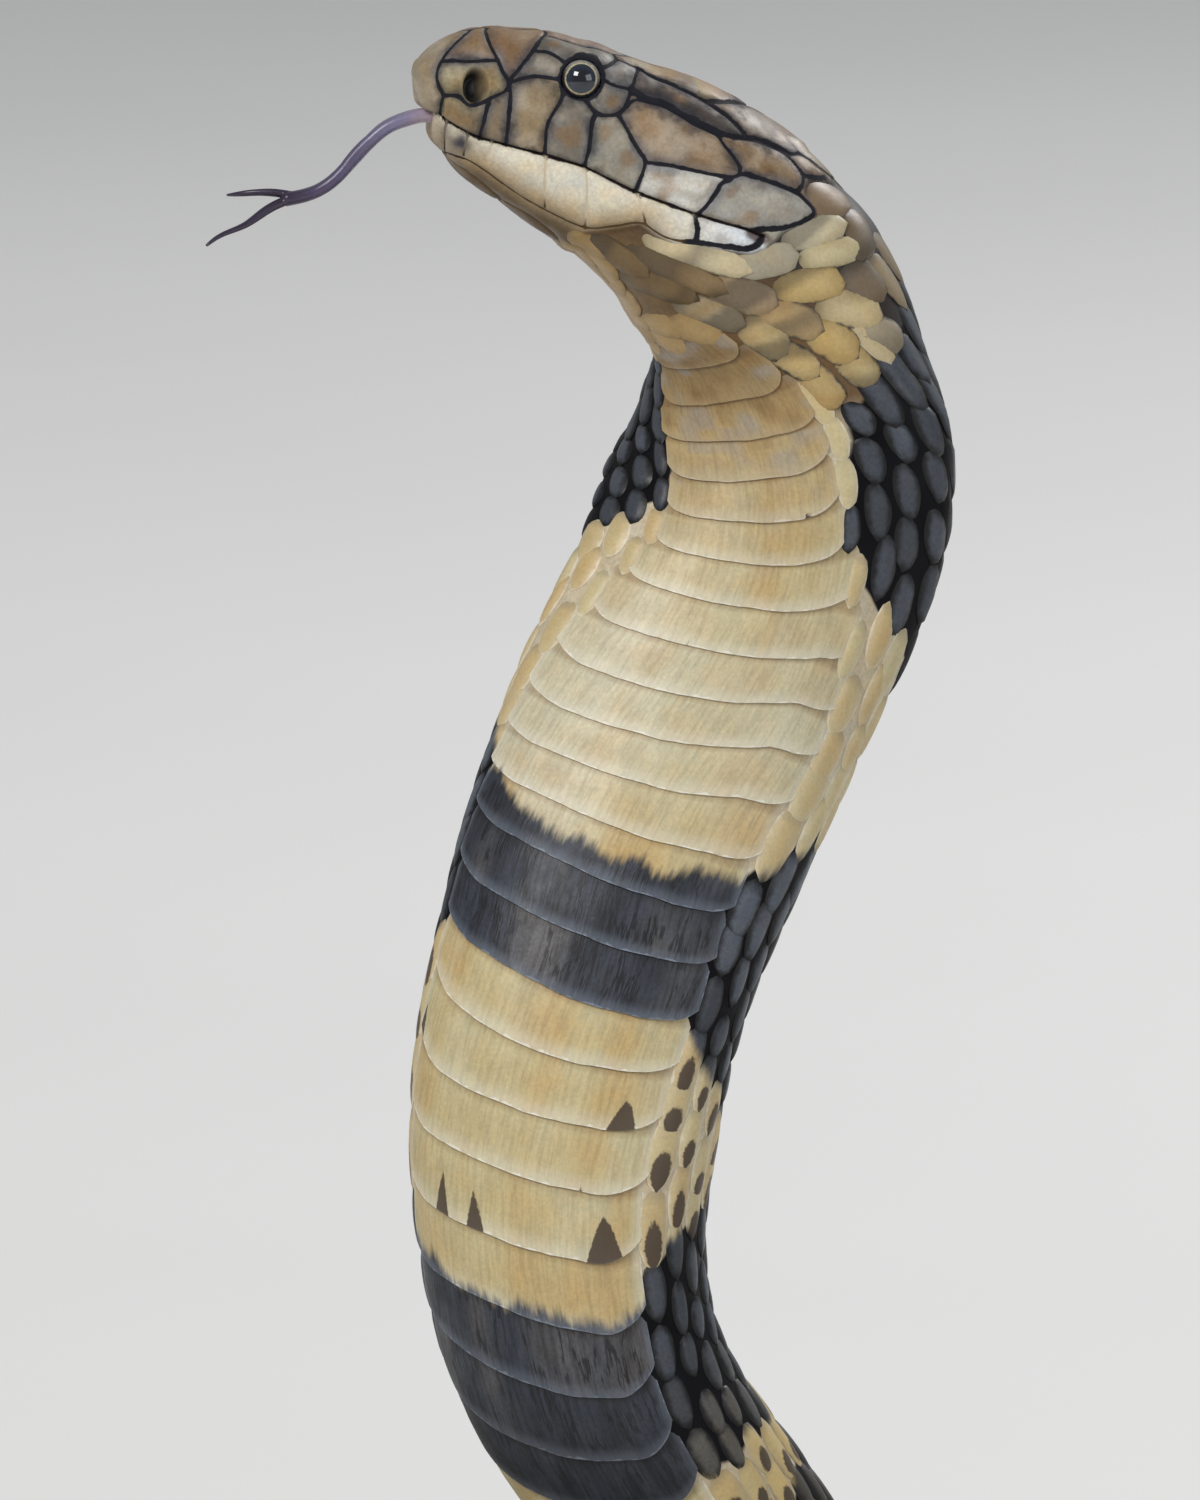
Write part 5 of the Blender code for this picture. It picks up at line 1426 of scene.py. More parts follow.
def streak_group():
    tree, given = shader_group("streaks_along", [("Along", 420.0), ("Across", 170.0)], ["Streak", "Crack"])
    streak = soft_step(tree, chart_noise(tree, given["Along"], given["Across"]), 0.40, 0.66)
    thin = chart_noise(tree, 260.0, 95.0, 3.0)
    near = math_node(tree, "ABSOLUTE", math_node(tree, "SUBTRACT", thin, 0.5))
    broken = soft_step(tree, chart_noise(tree, 420.0, 45.0, 1.0), 0.46, 0.56)
    crack = times(tree, soft_step(tree, near, 0.06, 0.015), broken)
    add(tree, "NodeGroupOutput", {0: streak, 1: crack})
    return tree


def border_group():
    tree, given = shader_group("ragged_border", [("Depth", 0.0), ("Raggedness", 4.0), ("Softness", 0.45)], ["Dark"])
    fingers = around_zero(tree, chart_noise(tree, 420.0, 110.0, 5.0), given["Raggedness"])
    depth = plus(tree, given["Depth"], fingers)
    dark = soft_step(tree, depth, times(tree, given["Softness"], -1.0), given["Softness"])
    add(tree, "NodeGroupOutput", {0: dark})
    return tree


def rim_group():
    tree, given = shader_group("rim_of_a_scale", [("Edge", 0.0), ("Start", 0.7), ("End", 0.95)], ["Rim"])
    edge = plus(tree, given["Edge"], around_zero(tree, noise_at(tree, object_place(tree), 700.0), 0.55))
    add(tree, "NodeGroupOutput", {0: soft_step(tree, edge, given["Start"], given["End"])})
    return tree


BLOTCHES, STREAKS, BORDER, RIM = blotch_group(), streak_group(), border_group(), rim_group()
print("shared groups:", [group.name for group in (BLOTCHES, STREAKS, BORDER, RIM)])

# %% The finishes of the hide
def blend(tree, share, a, b, kind="MIX"):
    a, b = ((*v, 1) if isinstance(v, (tuple, np.ndarray)) else v for v in (a, b))
    return add(tree, "ShaderNodeMix", {0: share, 6: a, 7: b}, data_type="RGBA", blend_type=kind).outputs[2]


def group_node(tree, group, linked=None, **values):
    node = add(tree, "ShaderNodeGroup", node_tree=group)
    for name, value in values.items():
        node.inputs[name.replace("_", " ")].default_value = value
    for name, source in (linked or {}).items():
        tree.links.new(source, node.inputs[name])
    return node.outputs


def new_finish(name):
    made = bpy.data.materials.new(name)
    made.use_nodes = True
    return made, made.node_tree, made.node_tree.nodes["Principled BSDF"]


def scaled(tree, colour, factor):
    return add(tree, "ShaderNodeVectorMath", {0: colour, "Scale": factor}, operation="SCALE").outputs[0]


SHINE, FINE_RELIEF = 0.32, 0.00005  # strength of the highlights, and depth of the grain in metres


def set_gloss(tree, shader, colour, spots, height, rough, bump_depth, coat, matt=None):
    """Colour, gloss and fine relief of a finish. It is rougher in the blotches, and where it is matt."""
    tree.links.new(colour, shader.inputs["Base Color"])
    gloss = remap(tree, spots["Blotch"], (rough - 0.05, rough + 0.09))
    if matt:
        gloss = plus(tree, gloss, times(tree, matt, 0.4))
    tree.links.new(gloss, shader.inputs["Roughness"])
    relief = add(tree, "ShaderNodeBump", {"Strength": 0.6, "Distance": bump_depth, "Height": height})
    tree.links.new(relief.outputs[0], shader.inputs["Normal"])
    shader.inputs["Coat Weight"].default_value = coat
    shader.inputs["Specular IOR Level"].default_value = SHINE
    shader.inputs["Coat Roughness"].default_value = 0.28


def mottled(tree, colour, spots, cool, warm, darker):
    """Blotches of two shades and a fine dark grain over a colour."""
    colour = blend(tree, times(tree, spots["Blotch"], cool), colour, (0.62, 0.66, 0.74), "MULTIPLY")
    colour = blend(tree, times(tree, spots["Warm"], warm), colour, (1.0, 0.80, 0.58), "MULTIPLY")
    return scaled(tree, colour, remap(tree, spots["Grain"], (darker, 1.04), (0.3, 0.7)))


def skin_material(name):
    """The bare skin and the shields of the head, with the inked grooves."""
    made, tree, shader = new_finish(name)
    spots = group_node(tree, BLOTCHES, Blotch_Size=330.0)
    dark = group_node(tree, BORDER, {"Depth": attribute(tree, "dark", "Fac")}, Raggedness=0.0)["Dark"]
    colour = mottled(tree, attribute(tree, "pale"), spots, 0.34, 0.30, 0.80)
    colour = blend(tree, dark, colour, attribute(tree, "deep"))
    at = object_place(tree)
    uneven = around_zero(tree, noise_at(tree, at, 900.0), 0.8)
    widening = remap(tree, noise_at(tree, at, 420.0, 2.0), (1.15, 0.62), (0.3, 0.7))
    line = plus(tree, times(tree, attribute(tree, "line", "Fac"), widening), uneven)
    cloudy = remap(tree, noise_at(tree, at, 260.0, 4.0), (5.0, 0.0), (0.36, 0.62))
    halo = soft_step(tree, plus(tree, line, cloudy), 7.5, 0.8)
    halo = times(tree, times(tree, halo, attribute(tree, "cloud", "Fac")), 0.72)
    reach = math_node(tree, "MAXIMUM", soft_step(tree, line, 1.3, 0.75), halo)
    colour = blend(tree, reach, colour, attribute(tree, "ink"))
    set_gloss(tree, shader, colour, spots, spots["Grain"], 0.44, FINE_RELIEF, 0.0, reach)
    tree.links.new(remap(tree, dark, (SHINE, 0.08)), shader.inputs["Specular IOR Level"])
    return made


def scale_material(name, pale_rim, deep_rim, soft_rim, streaks, ragged, rough, cool, warm):
    """Scales and scutes: a mottled core and a rim, once for the pale and once for the dark of the pattern."""
    made, tree, shader = new_finish(name)
    spots = group_node(tree, BLOTCHES, Blotch_Size=260.0)
    edge, lines = attribute(tree, "edge", "Fac"), group_node(tree, STREAKS)
    depth = {"Depth": attribute(tree, "dark", "Fac")}
    dark = group_node(tree, BORDER, depth, Raggedness=ragged, Softness=0.3 + ragged / 5)["Dark"]
    rim = group_node(tree, RIM, {"Edge": edge}, Start=pale_rim[0], End=pale_rim[1])["Rim"]
    pale = mottled(tree, attribute(tree, "pale"), spots, cool, warm, 0.88)
    pale = scaled(tree, pale, remap(tree, lines["Streak"], (1.0, 1.0 - 0.5 * streaks)))
    margin = times(tree, soft_step(tree, edge, 0.0, 1.0), soft_rim)
    pale = blend(tree, math_node(tree, "MAXIMUM", rim, margin), pale, attribute(tree, "pale_rim"))
    rim = group_node(tree, RIM, {"Edge": edge}, Start=deep_rim[0], End=deep_rim[1])["Rim"]
    deep = mottled(tree, attribute(tree, "deep"), spots, 0.3, 0.25, 0.72)
    deep = scaled(tree, deep, remap(tree, lines["Streak"], (1.0 + 0.5 * streaks, 1.0 - 0.9 * streaks)))
    deep = blend(tree, times(tree, lines["Crack"], 0.85 if streaks else 0.0), deep, (0.008, 0.008, 0.011))
    margin = times(tree, soft_step(tree, edge, 0.2, 1.0), soft_rim)
    deep = blend(tree, math_node(tree, "MAXIMUM", rim, margin), deep, attribute(tree, "deep_rim"))
    colour = blend(tree, dark, pale, deep)
    tip = plus(tree, attribute(tree, "tip", "Fac"), around_zero(tree, spots["Grain"], 0.5))
    colour = blend(tree, soft_step(tree, tip, -0.12, 0.12, 0.94), colour, tuple(TIP_BROWN))
    height = plus(tree, spots["Grain"], times(tree, lines["Streak"], 2.5 * streaks))
    set_gloss(tree, shader, colour, spots, height, rough, FINE_RELIEF, 0.06)
    return made


skin_finish = skin_material("shields_and_skin")
scute_finish = scale_material("belly_scutes", (0.84, 1.04), (0.86, 1.06), 0.36, 0.34, 4.2, 0.48, 0.20, 0.26)
scale_finish = scale_material("back_scales", (0.70, 1.05), (0.34, 0.90), 0.25, 0.0, 2.0, 0.42, 0.22, 0.26)
skin.data.materials.append(skin_finish)
print("finishes of the hide:", skin_finish.name, scute_finish.name, scale_finish.name)

# %% [markdown]
# ## The belly scutes
# One row of wide scutes runs down the belly, like the tracks that a snake crawls on. Each overlaps the next,
# and its rear edge is pale. There is one for each vertebra, about 250 and then some 90 more under the tail.
# Close to the viewer they are made of more faces.

# %% Stops of the scutes and a helper that lays pieces
SCUTE_PITCH = [
    (60, 8.6), (78, 8.6), (88, 5.8), (100, 6.3), (112, 7.6), (126, 7.1), (180, 7.6), (250, 8.5), (345, 8.7),
    (1500, 8.4), (1900, 7.4), (1960, 6.0), (2200, 5.2), (2400, 4.0), (2500, 3.2),
]
SCUTE_MARKS = [59.2, 85.0, 126.0, 154.4, 170.8, 229.0, FLOOR_START, TAIL_TIP - 3]  # an edge falls on each
scute_pitch = smooth(SCUTE_PITCH)


def stops(start, end, pitch):
    """Distances from start to end, about a pitch apart."""
    found = [start]
    while found[-1] + 0.5 * pitch(found[-1]) < end:
        found.append(found[-1] + float(pitch(found[-1])))
    found = np.array(found)
    return start + (found - start) * (end - start) / (found[-1] - start)


parts = [stops(start, end, scute_pitch) for start, end in zip(SCUTE_MARKS, SCUTE_MARKS[1:])]
SCUTE_STOPS = np.concatenate([part[:-1] for part in parts] + [parts[-1][-1:]])
print("belly scutes:", len(SCUTE_STOPS) - 1)


def read(mesh, name):
    """Three numbers for each point of a mesh, as they were kept."""
    values = np.zeros(len(mesh.vertices) * 3, np.float32)
    mesh.attributes[name].data.foreach_get("vector", values)
    return values.reshape(-1, 3).astype(float)


def settled(obj):
    """A plain mesh of the object with its modifiers worked in."""
    bpy.context.view_layer.update()
    return bpy.data.meshes.new_from_object(obj.evaluated_get(bpy.context.evaluated_depsgraph_get()))


def lay(name, rows, shape, chart, thickness, ragged, finish):
    """Lays one shape over the skin for every row (s, share, half length, half width as a share, draw)."""
    rows = np.array(rows)
    y = rows[:, 1] + (0.5 if chart == "belly_chart" else 0.0)
    flat = make_mesh(name + "_flat", np.stack([chart_x(rows[:, 0]), y, 0 * y], -1) / MM, [])
    size = np.stack([rows[:, 2] / CHART_LENGTH, rows[:, 3], np.ones(len(rows))], -1)
    keep(flat.data, size=size, root=rows[:, [0, 1, 4]], spread=rows[:, [2, 3, 4]])
    modifier = flat.modifiers.new("lay", "NODES")
    modifier.node_group = WRAP
    wanted = {
        "Skin": skin, "Shape": shape, "Chart": chart, "Thickness": thickness * MM,
        "Ragged": ragged / CHART_LENGTH, "Finish": finish,
    }
    for item in WRAP.interface.items_tree:
        if item.item_type == "SOCKET" and item.in_out == "INPUT" and item.name in wanted:
            modifier[item.identifier] = wanted[item.name]
    made = settled(flat)
    made.name = name
    piece = new_object(name, made)
    bpy.data.objects.remove(flat)
    triangles = sum(len(face.vertices) - 2 for face in made.polygons)
    lost = (np.linalg.norm(np.array([v.co[:] for v in made.vertices]), axis=1) < 1e-6).sum()
    print(f"{name}: {len(rows)} pieces, {triangles} triangles, {lost} points off the chart")
    return piece


def finish_piece(piece, layers, shift=0.0, shrink=(0.8, 1.0)):
    """Paints a laid piece and gives each scale its own patch on the folded map."""
    mesh = piece.data
    root, chart = read(mesh, "root"), read(mesh, "chart")
    paint(mesh, **layers)
    s = root[:, 0] + (distance_on(chart) - root[:, 0]) * shrink[0]
    share = root[:, 1] % 1.0 + (chart[:, 1] - shift - root[:, 1]) * shrink[1]
    add_map(mesh, "OFBake", folded(s, share, root[:, 0])[corners_of(mesh)])
    for name in ("root", "spread", "cell", "size"):
        if name in mesh.attributes:
            mesh.attributes.remove(mesh.attributes[name])
    mesh.shade_smooth()
    mesh.set_sharp_from_angle(angle=math.radians(48))
    return piece


# %% Lay and colour the scutes
WEDGES = [  # brown wedges at the free edge of a scute: distance, share aside, width, length
    (185.5, 0.130, 2.2, 4.6), (200.0, 0.128, 2.8, 6.2), (200.0, -0.034, 1.5, 5.5), (207.2, -0.085, 1.3, 5.0),
    (185.5, -0.165, 1.2, 5.0), (192.8, 0.100, 0.5, 4.5), (97.0, 0.07, 0.6, 1.2), (118.4, -0.02, 0.5, 2.0),
]
PALE_TO = 126  # above this the scutes are pale
WHOLE_FROM, WHOLE_TO = 154, 420  # here a scute is either pale or dark where a belt begins


def scute_rows(start, end, seed):
    """All the scutes between two distances: place, half length, half width, draw."""
    draw = np.random.default_rng(seed)
    rows = []
    for a, b in zip(SCUTE_STOPS, SCUTE_STOPS[1:]):
        if start <= a < end:
            half = (b - a) * 0.62
            rows.append((b - half, 0.0, half, float(belly_share(b - half)) * 1.03, draw.random()))
    return rows


def wedge_depth(s, share, free_edge):
    """How deep a place lies in a brown wedge on the free edge of a scute. Below 0 it is outside."""
    deep = np.full(s.shape, -3.0)
    for at, aside, wide, long in WEDGES:
        edge = SCUTE_STOPS[np.abs(SCUTE_STOPS - at).argmin()]
        off = np.abs((share - aside) * girth(s))
        reach = wide * np.clip((s - edge + long) / long, 0, 1) ** 0.8
        mine = np.abs(free_edge - edge) < 1.0
        deep = np.maximum(deep, np.where(mine, np.minimum(reach - off, s - edge + long), -3.0))
    return deep


def scute_layers(piece):
    """What the finish has to know at every point of the scutes."""
    chart, root, cell, spread = (read(piece.data, name) for name in ("chart", "root", "cell", "spread"))
    s, share = distance_on(chart), chart[:, 1] - 0.5
    cloud = soft_noise(share * 26, root[:, 0] * 0.9, 21)
    throat = ease(116, 76, s)
    middle = np.exp(-((cell[:, 0] - 0.15) / 0.42) ** 2) * ease(1.0, 0.7, np.abs(cell[:, 1]))
    hood = ease(100, 122, s) * ease(172, 156, s)
    gold = 0.30 * hood * ease(-0.02, 0.09, share) * ease(0.2, 0.6, cloud)
    dry = ease(0.5, 0.9, soft_noise(share * 34 + 9, root[:, 0] * 1.3, 22))
    patch, old = soft_noise(share * 34, s * 0.35, 24), ease(420, 900, s)
    pale = glazed(
        YELLOW, (PALE_RIM, 0.45 * hood * ease(0.04, -0.08, share)),
        (ORANGE, 0.04 + 0.5 * ease(0.40, 0.85, cloud) + 0.26 * middle + gold),
        (STRAW, 0.65 * ease(100, 128, s) * ease(150, 132, s) + 0.25 * dry),
        (THROAT, 0.8 * throat), (GULLET, 0.8 * ease(84, 66, s)),
        ((150, 146, 142), 0.5 * ease(0.55, 0.85, patch) * ease(108, 84, s)),
        ((120, 88, 44), 0.55 * ease(0.45, 0.15, patch) * ease(96, 76, s)), ((168, 158, 140), 0.7 * old),
    )
    rim = mix(PALE_RIM, shade(150, 126, 88), 0.95 * throat)
    deeper, smoke = ease(214, 236, s), ease(0.3, 0.9, soft_noise(share * 60, s * 0.2, 23))
    slate = glazed(
        SLATE, (SLATE_DEEP, 0.45 * smoke + 0.25 * deeper),
        ((112, 108, 106), 0.5 * ease(0.5, 0.9, cloud) * ease(150, 162, s) * (1 - deeper)),
        ((74, 70, 66), 0.6 * old),
    )
    deep_rim = mix(SLATE_RIM, shade(92, 94, 98), 0.6 * deeper)
    half = spread[:, 1] * girth(s)
    edge = np.maximum(1 - (1 - cell[:, 0]) * spread[:, 0] / 2.6, 1 - (1 - np.abs(cell[:, 1])) * half / 2.2)
    middle = root[:, 0] + 0.25 * spread[:, 0]
    before = middle < BAND_CENTRES[np.abs(middle[:, None] - BAND_CENTRES).argmin(1)]
    whole = np.where(dark_depth(middle, 0.0) > 0, 5.0, -5.0)  # a belt ends with the free edge of a scute
    depth = np.where(before & (middle > WHOLE_FROM) & (s < WHOLE_TO), whole, dark_depth(s, share))
    depth = np.where(s < PALE_TO, np.minimum(depth, -4.0), depth)
    light = 1 - (0.32 * ease(-0.44, -0.60, cell[:, 0]))[:, None] * np.array([0.8, 1.0, 1.15])  # shade at its root
    return dict(
        pale=pale * light, deep=slate * light, pale_rim=rim, deep_rim=deep_rim, dark=depth,
        edge=np.clip(edge, -0.6, 1), tip=wedge_depth(s, share, root[:, 0] + spread[:, 0]),
    )


rows = scute_rows(0, FLOOR_START - 1, 1)
scutes_front = lay("belly_scutes_front", rows, fine_scute, "belly_chart", 0.62, 0.9, scute_finish)
rows = scute_rows(FLOOR_START - 1, TAIL_TIP, 2)
scutes_rear = lay("belly_scutes_rear", rows, plain_scute, "belly_chart", 0.5, 0.5, scute_finish)
for piece in (scutes_front, scutes_rear):
    finish_piece(piece, scute_layers(piece), 0.5, (0.80, 0.98))

# %% [markdown]
# ## The scales of the back and flanks
# They stand in slanting rows, each scale half a length behind its neighbour, like roof tiles. Nineteen rows
# go round the neck and fifteen round the trunk. A row that ends narrows to nothing, and the rows above it
# slide half a scale so that they stay staggered. Where the hood stretches the neck, the black skin shows.

# %% Rows of scales
ROW_WEIGHTS = np.array([1, 0.95, 0.97, 1, 1, 1, 1, 1, 1, 1.1])  # how wide the rows are, from the belly up
ROW_ENDS = {6: (196, 246), 5: (262, 335), 3: (1960, 2040), 7: (2060, 2140), 4: (2160, 2240), 8: (2260, 2340)}
HOOD_TOP, TRUNK_START = 84.0, 270.0
first_row = smooth([
    (60, 0.85), (78, 0.66), (106, 0.66), (118, 1.25), (136, 1.4), (150, 1.1), (210, 1.15), (300, 1.3), (2500, 1.3),
])


def row_places(s):
    """Share of the girth and half width of rows 1 to 10, from the belly to the middle of the back."""
    weights = ROW_WEIGHTS.copy()
    weights[0] = float(first_row(s))
    for row, (start, end) in ROW_ENDS.items():
        weights[row - 1] *= 1 - float(ease(start, end, s))
    total = weights[:-1].sum() + weights[-1] / 2
    room = 0.5 - float(belly_share(s))
    centre = float(belly_share(s)) + (np.cumsum(weights) - weights / 2) / total * room
    centre[-1] = 0.5
    return centre, weights / 2 / total * room


NECK_STOPS = stops(44.0, float(SCUTE_STOPS[SCUTE_STOPS >= 75.0][0]), lambda s: 5.3)
BACK_STOPS = np.concatenate([NECK_STOPS[:-1], SCUTE_STOPS[SCUTE_STOPS >= 75.0]])


def is_clear(s, share, margin=0.6):
    """True where a scale's root lies behind the shields of the head and outside the plates of the neck."""
    turn = turn_at(s, share)
    place = seen(surface(s, turn))
    aside = abs((float(turn) + math.pi) % (2 * math.pi) - math.pi)
    on_neck = aside < math.radians(152) and float(inside(place, NECK_REGION)) > 0
    return float(inside_head(place)) < margin and not on_neck


def scale_rows(start, end, seed):
    """All the scales between two distances: place, half length, half width, draw."""
    draw = np.random.default_rng(seed)
    rows = []
    for a, b in zip(BACK_STOPS, BACK_STOPS[1:]):
        centre, half = row_places(a)
        for row in range(1, 11):
            jitter, chance = draw.normal(0, 0.07 if a < TRUNK_START else 0.05, 3), draw.random()
            slid = sum(float(ease(*ROW_ENDS[ended], a)) for ended in ROW_ENDS if ended < row)
            at = a + (0.5 * (row % 2) + 0.5 * slid + jitter[0]) * (b - a)
            if not start <= at < end or half[row - 1] * girth(a) < 0.8 and a < 2200:
                continue
            for side in ((1, -1) if row < 10 else (1,)):
                share = centre[row - 1] if side > 0 else 1 - centre[row - 1]
                if at > HOOD_TOP or is_clear(at, share):
                    length, width = (b - a) * (1 + jitter[1]), half[row - 1] * (1 + 0.6 * jitter[2])
                    rows.append((at, share, length, width, chance))
    return rows


def stretched(s, share):
    """How far the hood pulls the scales apart."""
    dark = darkness(s, share)
    side = ease(0.6, 0.3, flank(s, share))
    on_hood = ease(76, 90, s) * ease(134, 112, s) * (0.35 + 0.65 * dark)
    return on_hood + ease(150, 166, s) * ease(330, 240, s) * side * dark


def sized(rows, length, width):
    """The rows with their sizes multiplied, and smaller where the hood stretches the skin."""
    rows = np.array(rows)
    pull = stretched(rows[:, 0], rows[:, 1])
    rows[:, 2] *= length * (1 - 0.20 * pull)
    rows[:, 3] *= width * (1 - 0.14 * pull)
    return rows


print("rings of scales:", len(BACK_STOPS) - 1)

# %% [markdown]
# ## The plates of the neck
# Behind the jaw the scales are larger, lean in all directions and lie beside one another like paving stones.
# No rule covers them, so each is listed one by one with its lean, its size and its tone, on the left and on the
# right. They are bent over the skin as they are made, so that each keeps the shape in which it was drawn.

# %% Plates of the neck
NECK_REGION = np.array([  # where the plates below lie, as places (p, q)
    (27.8, -5.1), (32.1, -13.2), (40.3, -19.0), (49.1, -17.8), (55.6, -18.9), (61.6, -20.8), (67.3, -24.0),
    (72.9, -22.6), (76.3, -16.8), (78.1, -10.8), (73.9, -3.1), (69.0, 6.7), (59.3, 10.3), (42.9, 0.1), (27.8, -5.1),
])
NECK_PLATES = [  # place (p, q), lean in degrees, half length, half width, colour
    (44.8, -7.7, 2, 8.2, 1.75, (208, 194, 158)), (54.7, -5.4, 31, 4.8, 2.1, (228, 215, 180)),
    (63.4, -1.2, 33, 4.8, 1.8, (194, 182, 144)), (59.9, 1.0, 33, 4.9, 2.0, (205, 195, 165)),
    (66.7, 3.3, -56, 3.9, 2.3, (114, 100, 80)), (60.3, 6.3, -1, 3.8, 2.6, (134, 114, 90)),
    (61.7, -6.7, 27, 5.3, 2.2, (190, 165, 110)), (69.5, -3.0, -31, 3.8, 2.3, (120, 105, 85)),
    (68.6, -7.8, 11, 5.0, 2.4, (200, 180, 135)), (74.1, -9.7, -1, 3.8, 2.2, (180, 165, 135)),
    (53.1, -11.2, 5, 5.2, 2.2, (158, 138, 108)), (60.3, -12.2, 5, 5.2, 2.2, (170, 146, 104)),
    (67.8, -13.0, -11, 4.1, 2.5, (186, 160, 104)), (49.2, -15.2, 1, 5.5, 1.7, (160, 145, 115)),
    (57.9, -15.9, -11, 4.1, 2.2, (180, 160, 115)), (63.2, -17.5, -11, 4.1, 2.0, (190, 166, 114)),
    (72.6, -15.4, -26, 3.5, 2.3, (178, 158, 112)), (68.5, -20.1, -26, 3.9, 2.3, (180, 156, 106)),
    # the three plates under the chin are brown, darkened by painted shade where the jaw turns under
    (40.9, -14.0, 1, 6.2, 1.5, (112, 92, 60)), (33.6, -11.6, -14, 5.9, 1.5, (120, 98, 64)),
    (42.6, -11.0, -3, 8.2, 1.6, (136, 114, 80)),
]


def plate_on_skin(flat, middle, lean, sizes, side):
    """Distances and turns of the points of a plate, and of its middle, so that it has its true shape as seen."""
    s, turn = (float(v[0]) for v in on_side([middle], side))
    ways = np.array([(math.cos(lean), math.sin(lean)), (-math.sin(lean), math.cos(lean))])
    drawn = np.array(middle) + flat[:, :2] * sizes @ ways
    at_s, at_turn = on_side(drawn, side)
    missed = np.abs(seen(surface(at_s, side * at_turn)) - drawn).max()
    if s > 58.0 or missed > 0.1:  # near the outline of the neck its two axes are laid over the skin instead
        by_s = seen(surface(s + 0.5, side * turn)) - seen(surface(s - 0.5, side * turn))
        by_turn = (seen(surface(s, side * (turn + 0.02))) - seen(surface(s, side * (turn - 0.02)))) / 0.04
        steps = (np.linalg.inv(np.array([by_s, by_turn]).T) @ ways.T).T * np.array(sizes)[:, None]
        for step, size in zip(steps, sizes):
            reach = np.linalg.norm(surface(s + step[0], side * (turn + step[1])) - surface(s, side * turn))
            step *= min(1.0, 1.35 * size / reach)
        at_s, at_turn = (np.array([[s], [turn]]) + steps.T @ flat[:, :2].T)
    return at_s, side * at_turn, s, turn


def neck_plates(shape):
    """Each plate of the list on both sides of the neck, joined into one piece."""
    flat = np.array([v.co[:] for v in shape.data.vertices])
    cell = read(shape.data, "cell")
    faces_of_one = [tuple(face.vertices) for face in shape.data.polygons]
    points, faces, charts, roots, spreads, cells, tints = ([] for _ in range(7))
    for number, (p, q, lean, half_length, half_width, tone) in enumerate(NECK_PLATES):
        sizes = (half_length * 1.08, half_width * 1.16)
        for side in (1, -1):
            at_s, at_turn, s, turn = plate_on_skin(flat, (p, q), math.radians(lean), sizes, side)
            faces += [tuple(len(points) + v for v in face) for face in faces_of_one]
            points += list(surface(at_s, at_turn, -COAT + flat[:, 2] * 0.75))
            share = share_of_turn(at_s, np.abs(at_turn))
            middle = float(share_of_turn(np.array([s]), np.array([turn]))[0])
            share, middle = (share, middle) if side > 0 else (1 - share, 1 - middle)
            charts += [(float(chart_x(a)), b, 0) for a, b in zip(at_s, share)]
            roots += [(s, middle, (number * 0.37) % 1.0)] * len(flat)
            spreads += [(half_length, half_width / girth(s), 0)] * len(flat)
            cells += cell.tolist()
            tints += [shade(*tone)] * len(flat)
    piece = make_mesh("neck_plates", points, faces)
    keep(piece.data, chart=charts, root=roots, spread=spreads, cell=cells)
    outward(piece.data)
    piece.data.materials.append(scale_finish)
    return piece, np.array(tints)


plates, plate_tints = neck_plates(blunt_scale)
print("neck plates:", 2 * len(NECK_PLATES))

# %% [markdown]
# ## The skin under the throat
# Between the chin shields and the first scute the skin is gathered, because the neck bends down there. Short
# rows of long scales overlap in its folds. They come from the same tree, with another list of places.

# %% Rows under the throat
def throat_rows():
    """Long overlapping scales from behind the chin shields and the lips to the first scutes."""
    draw = np.random.default_rng(31)
    rows = []
    for k, s in enumerate(np.concatenate([np.arange(22.0, 37.0, 3.1), np.arange(38.5, 62.0, 6.0)])):
        in_bend = float(ease(36, 39, s))  # the skin is gathered where the throat bends
        for j in range(-10, 11):
            share = (j + 0.5 * (k % 2)) * (0.048 + 0.016 * in_bend)
            inner = abs(share) < float(belly_share(s)) + 0.01
            if abs(share) > float(belly_share(max(s, 45.0))) + (0.015 if s > 44 else 0.4) or s > 46 and not inner:
                continue
            if is_clear(s, share % 1.0, 0.2):
                half_length, half_width = 3.6 + 3.6 * in_bend, 0.0275 + 0.0095 * in_bend
                rows.append((s + draw.normal(0, 0.15), share, half_length, half_width, draw.random()))
    return rows


under_throat = throat_rows()
print("scales under the throat:", len(under_throat))

# %% [markdown]
# ## The colours of the scales
# Each scale takes the pattern at its root, so that it is either pale or dark, and only a little of what lies
# under the rest of it. That keeps the border stepped, as on a real snake, and not cut through the scales. The
# root is darker because the scale before it throws its shadow there.

